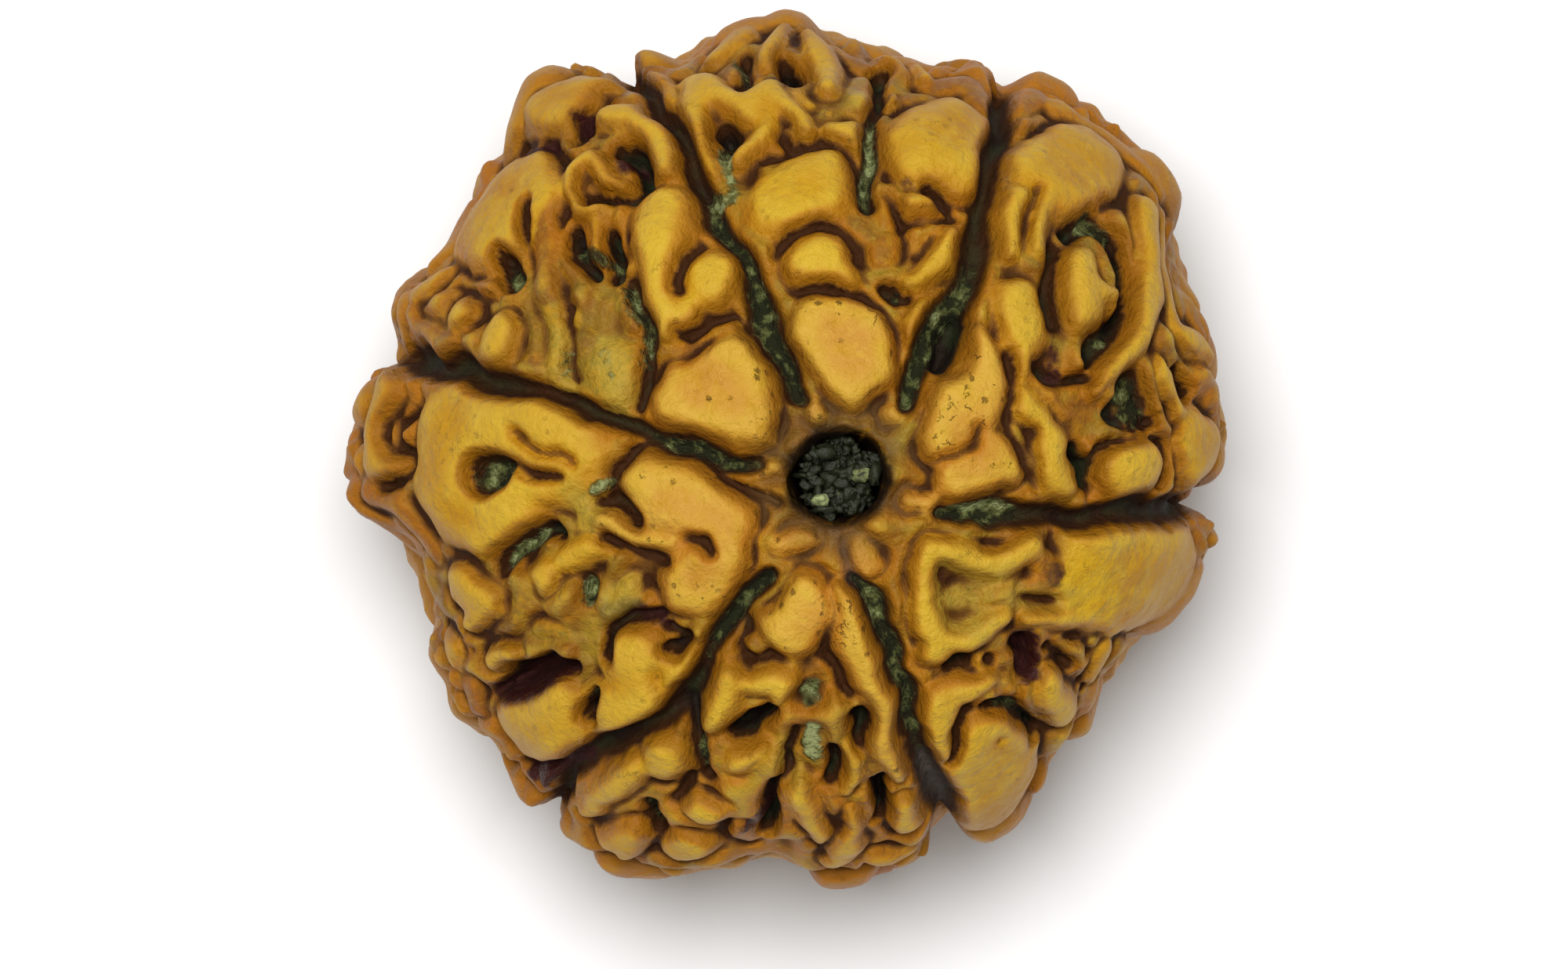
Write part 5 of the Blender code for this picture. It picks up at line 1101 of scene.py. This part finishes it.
def baseColour(cloud, masks):
    # gold over all, deeper and paler by turns, and duller grounds and sunk steps
    ground = blend(spread(cloud["middling"], 0.40, 0.62), "brown", "khaki")
    ground = blend(spread(cloud["broad"], 0.35, 0.65, 0, 0.45), ground, "goldDeep")
    gold = blend(spread(cloud["broad"], 0.35, 0.68), "goldDeep", "gold")
    gold = blend(spread(cloud["middling"], 0.52, 0.80, 0, 0.55), gold, "goldPale")
    tan = blend(spread(cloud["middling"], 0.45, 0.8, 0, 0.6), "tan", "gold")
    khaki = blend(spread(cloud["small"], 0.35, 0.65), "khaki", "goldDeep")
    brown = blend(spread(cloud["middling"], 0.35, 0.65), "brown", "amber")
    return layered(ground, (
        (spread(masks["gold"], 0.0, 0.60), gold),
        (spread(masks["tan"], 0.05, 0.75), tan),
        (spread(masks["khaki"], 0.05, 0.8), khaki),
        (spread(masks["brown"], 0.05, 0.8), brown),
        (spread(cloud["blotch"], 0.50, 0.68, 0, 0.60), "stain"),
        (spread(cloud["grain"], 0.48, 0.70, 0, 0.65), "goldDeep"),
        (spread(cloud["grain"], 0.46, 0.30, 0, 0.35), "goldPale"),
    ))


def creaseShade(cloud, masks):  # high in the creases, below zero on the crests
    shade = plus(masks["wideCrease"], times(masks["fineCrease"], 0.55))
    shade = plus(shade, sway(cloud["middling"], 0.9))
    return minus(shade, times(masks["straw"], 0.55))


def agedLitAndShadedColour(colour, cloud, masks, shade):
    # painted highlight on the crests, painted shade on the low ground, the flanks and the knob sides, brown
    # to near black painted shade in the creases, seam walls and pits, then plum patches with painted shade,
    # dust and pale ground
    level, steep = masks["level"], masks["steep"]
    # paler crests: a painted highlight on the tops of the knobs
    crestHighlight = spread(times(masks["wideCrease"], -1.0), 0.15, 0.70, 0, 0.45)
    # darker amber and khaki lower down: painted shade on the low ground between the knobs
    low = plus(plus(level, sway(cloud["middling"], 0.5)), times(masks["straw"], 0.4))
    plum = spread(plus(masks["plum"], sway(cloud["small"], 0.9)), 0.30, 0.85)
    straw = times(masks["straw"], spread(cloud["small"], 0.35, 0.60, 0.35, 0.75))
    return layered(colour, (
        (times(crestHighlight, spread(level, -0.50, -0.15)), "goldPale"),
        (spread(low, -0.28, -0.85, 0, 0.65), blend(spread(cloud["drift"], 0.44, 0.58), "amber", "khaki")),
        # browner, darker flanks: painted shade where the sides turn from the light
        (times(masks["flank"], spread(cloud["broad"], 0.35, 0.65, 0.50, 0.90)), "limb"),
        # orange, then amber down the steep knob sides: painted shade where they slope from the light
        (times(spread(steep, 0.03, 0.24), spread(cloud["broad"], 0.38, 0.62, 0.10, 0.60)), "fringe"),
        (spread(steep, 0.10, 0.50, 0, 0.72), "amber"),
        (spread(shade, 0.15, 0.70, 0, 0.80), "brown"),
        (spread(shade, 0.60, 1.15), "crease"),
        # near black down the seam walls and, with dark pulp, deep in the pits: painted shade
        (spread(masks["seamWall"], 0.35, 0.95), "crease"),
        (spread(level, -0.95, -1.60), blend(spread(cloud["middling"], 0.42, 0.56), "darkest", "pulpDark")),
        # plum patches, only low down: a purple-brown tone with near black painted shade in the dark valleys
        (times(plum, spread(level, 0.05, -0.45)), "plum"),
        (times(masks["dust"], spread(cloud["small"], 0.30, 0.55, 0.5, 0.95)), "dust"),
        (times(straw, spread(shade, 0.95, 0.35)), "straw"),
    ))


def poresAndCracks(where, cloud, masks):  # on the worn plates, and fewer on the other knobs
    pores = addNode(where.id_data, "ShaderNodeTexVoronoi", feature="F1")
    feed(pores.inputs["Vector"], where)
    feed(pores.inputs["Scale"], poreScale)
    pore = spread(plus(pores.outputs["Distance"], sway(cloud["hair"], 0.5)), 0.22, 0.08)
    pore = times(pore, spread(cloud["middling"], 0.46, 0.58))
    crack = spread(reckon("ABSOLUTE", minus(cloud["winding"], 0.5)), 0.016, 0.003)
    crack = times(crack, spread(cloud["small"], 0.46, 0.58))
    crack = times(crack, spread(cloud["crackPatch"], 0.50, 0.60))
    return times(larger(pore, crack), larger(masks["tan"], times(masks["gold"], 0.35)))


def stoneMaterial():
    material, tree, shader = newMaterial("polishedEndocarp")
    where = addNode(tree, "ShaderNodeTexCoord").outputs["Object"]
    cloud = {name: noise(where, *values) for name, values in clouds.items()}
    masks = {name: mask(tree, name) for name in stoneMasks}
    shade = creaseShade(cloud, masks)
    pulp = useGroup(tree, driedPulp, Paleness=masks["pulpPale"], Scale=1.0)
    film = plus(larger(masks["pulp"], masks["seam"]), sway(cloud["small"], 1.1))
    film = spread(film, 0.40, 0.85, 0, 0.92)
    pocks = poresAndCracks(where, cloud, masks)
    bore = plus(masks["bore"], sway(cloud["middling"], 0.5))
    # darker brown round the bore with painted shade deepening into its dip, then near black painted shade
    # down the bore's mouth
    rimToneAndShade = times(spread(bore, 0.20, 0.75, 0, 0.75), spread(masks["level"], -0.10, -0.75))
    colour = layered(agedLitAndShadedColour(baseColour(cloud, masks), cloud, masks, shade), (
        (film, pulp.outputs["Colour"]),
        (times(pocks, 0.75), "crease"),
        (rimToneAndShade, "rim"),
        (spread(bore, 0.70, 0.98), "darkest"),
    ))
    feed(shader.inputs["Base Color"], colour)
    rough = plus(spread(shade, 0.0, 0.7, 0.40, 0.70), times(cloud["small"], 0.12))
    feed(shader.inputs["Roughness"], plus(rough, times(film, 0.15)))
    feed(shader.inputs["Specular IOR Level"], stoneGloss)

    height = plus(times(cloud["small"], 0.7), times(cloud["hair"], 0.20))
    height = minus(plus(height, times(cloud["lumps"], 1.3)), times(pocks, 0.35))
    height = plus(height, times(times(film, pulp.outputs["Grain"]), 1.6))
    setBump(shader, height, *stoneBump)
    return material


bead.data.materials.clear()
bead.data.materials.append(stoneMaterial())
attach(bead, "root")
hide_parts("rudraksha_stone")
print("stone finished")


# Crumbs of dried pulp in the bore
crumbs = {
    "count": 170,
    "seed": 5,
    "highest": 1.2 * mm,  # depth below the top of the stone
    "deepest": 2.9 * mm,
    "hollow": 0.35 * mm,  # how much higher they lie along the wall
    "size": (0.06 * mm, 0.24 * mm),
    "paleness": (-1.9, -0.6),
    "lumpiness": 0.16,
    "scale": 1.4,
    "roughness": 0.45,
    "bump": (0.7, 0.00008),
}
largeCrumbs = {  # pixel of the picture, depth, half sizes, paleness
    # the pale chip is partly a painted highlight: a crumb of pulp made pale where the bore shows a bright
    # glint
    "chip": ((1046, 641), 1.00 * mm, (0.22 * mm, 0.15 * mm, 0.20 * mm), 2.6),
    "lump": ((1096, 611), 1.10 * mm, (0.34 * mm, 0.17 * mm, 0.20 * mm), 0.5),
}


def crumbPlaces(random):
    top = stone["restBelowEquator"] + stone["halfHeight"]
    for point, depth, sizes, pale in largeCrumbs.values():
        (x,), (y,) = pictureToPlan([point])
        yield (x + beadShift[0], y + beadShift[1], top - depth), np.array(sizes), pale
    for _ in range(crumbs["count"]):
        turn, share = random.uniform(0, 2 * math.pi), math.sqrt(random.random())
        away = 0.92 * stone["boreRadius"] * share
        depth = crumbs["highest"] + (crumbs["deepest"] - crumbs["highest"]) * random.random() ** 1.2
        depth -= crumbs["hollow"] * share
        size = random.uniform(*crumbs["size"])
        x, y = boreXy + beadShift + away * np.array([math.cos(turn), math.sin(turn)])
        yield (x, y, top - depth), size * random.uniform(0.40, 1.5, 3), random.uniform(*crumbs["paleness"])


def makeCrumbs():
    random = np.random.default_rng(crumbs["seed"])
    heap = bmesh.new()
    paleness = []
    for middle, sizes, pale in list(crumbPlaces(random)):  # every place is drawn before the lumps
        made = bmesh.ops.create_icosphere(heap, subdivisions=2, radius=1)["verts"]
        ways = random.normal(size=(6, 3)) * 3.6
        phases = random.uniform(0, 6.28, 6)
        for vert in made:
            way = np.array(vert.co)
            lump = 1 + crumbs["lumpiness"] * np.sin(ways @ way + phases).sum()
            vert.co = middle + way * sizes * lump
            paleness.append(pale)
    obj = asObject(heap, "bore_pulp")
    setMask(obj.data, "paleness", paleness)
    obj.data.shade_smooth()
    return obj


def crumbMaterial():
    material, tree, shader = newMaterial("pulpCrumbs")
    pulp = useGroup(tree, driedPulp, Paleness=mask(tree, "paleness"), Scale=crumbs["scale"])
    feed(shader.inputs["Base Color"], pulp.outputs["Colour"])
    feed(shader.inputs["Roughness"], crumbs["roughness"])
    setBump(shader, pulp.outputs["Grain"], *crumbs["bump"])
    return material


pulpPiece = makeCrumbs()
pulpPiece.data.materials.append(crumbMaterial())
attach(pulpPiece, "root")
print("bore crumbs placed")


# Floor, light and camera
studio = {
    "floorSide": 1.2,
    "floorColour": (0.97, 0.97, 0.97),
    "floorRoughness": 0.9,
    "cameraHeight": 0.60,
    "picturePx": (2000, 1236),
    "keyPower": 3.7,
    "keySize": 0.24,
    "keyPlace": (-0.03, 0.08, 0.60),
    "fill": 0.20,
}


def makeFloor():
    bpy.ops.mesh.primitive_grid_add(x_subdivisions=4, y_subdivisions=4, size=studio["floorSide"])
    floor = bpy.context.object
    floor.name = "floor"
    material, _, shader = newMaterial("paper")
    feed(shader.inputs["Base Color"], (*studio["floorColour"], 1))
    feed(shader.inputs["Roughness"], studio["floorRoughness"])
    floor.data.materials.append(material)


def makeLight():
    lamp = bpy.data.lights.new("key", "AREA")
    lamp.shape = "DISK"
    lamp.size = studio["keySize"]
    lamp.energy = studio["keyPower"]
    holder = bpy.data.objects.new("key", lamp)
    holder.location = studio["keyPlace"]
    holder.rotation_mode = "QUATERNION"
    holder.rotation_quaternion = holder.location.to_track_quat("Z", "Y")
    bpy.context.scene.collection.objects.link(holder)
    world = bpy.data.worlds.new("studio")
    world.use_nodes = True
    background = world.node_tree.nodes["Background"]
    background.inputs["Color"].default_value = (1, 1, 1, 1)
    background.inputs["Strength"].default_value = studio["fill"]
    bpy.context.scene.world = world


def makeCamera():  # over the middle of the picture, looking straight down
    camera = bpy.data.cameras.new("camera")
    wide, high = studio["picturePx"]
    cx, cy = stone["outlineCentrePx"]
    distance = studio["cameraHeight"] - stone["restBelowEquator"]
    camera.lens = camera.sensor_width * distance / (wide * px)
    camera.clip_start = 0.01
    holder = bpy.data.objects.new("camera", camera)
    holder.location = ((wide / 2 - cx) * px, (cy - high / 2) * px, studio["cameraHeight"])
    bpy.context.scene.collection.objects.link(holder)
    bpy.context.scene.camera = holder


makeFloor()
makeLight()
makeCamera()
bpy.context.scene.view_settings.view_transform = "Standard"
print("floor, light and camera set")
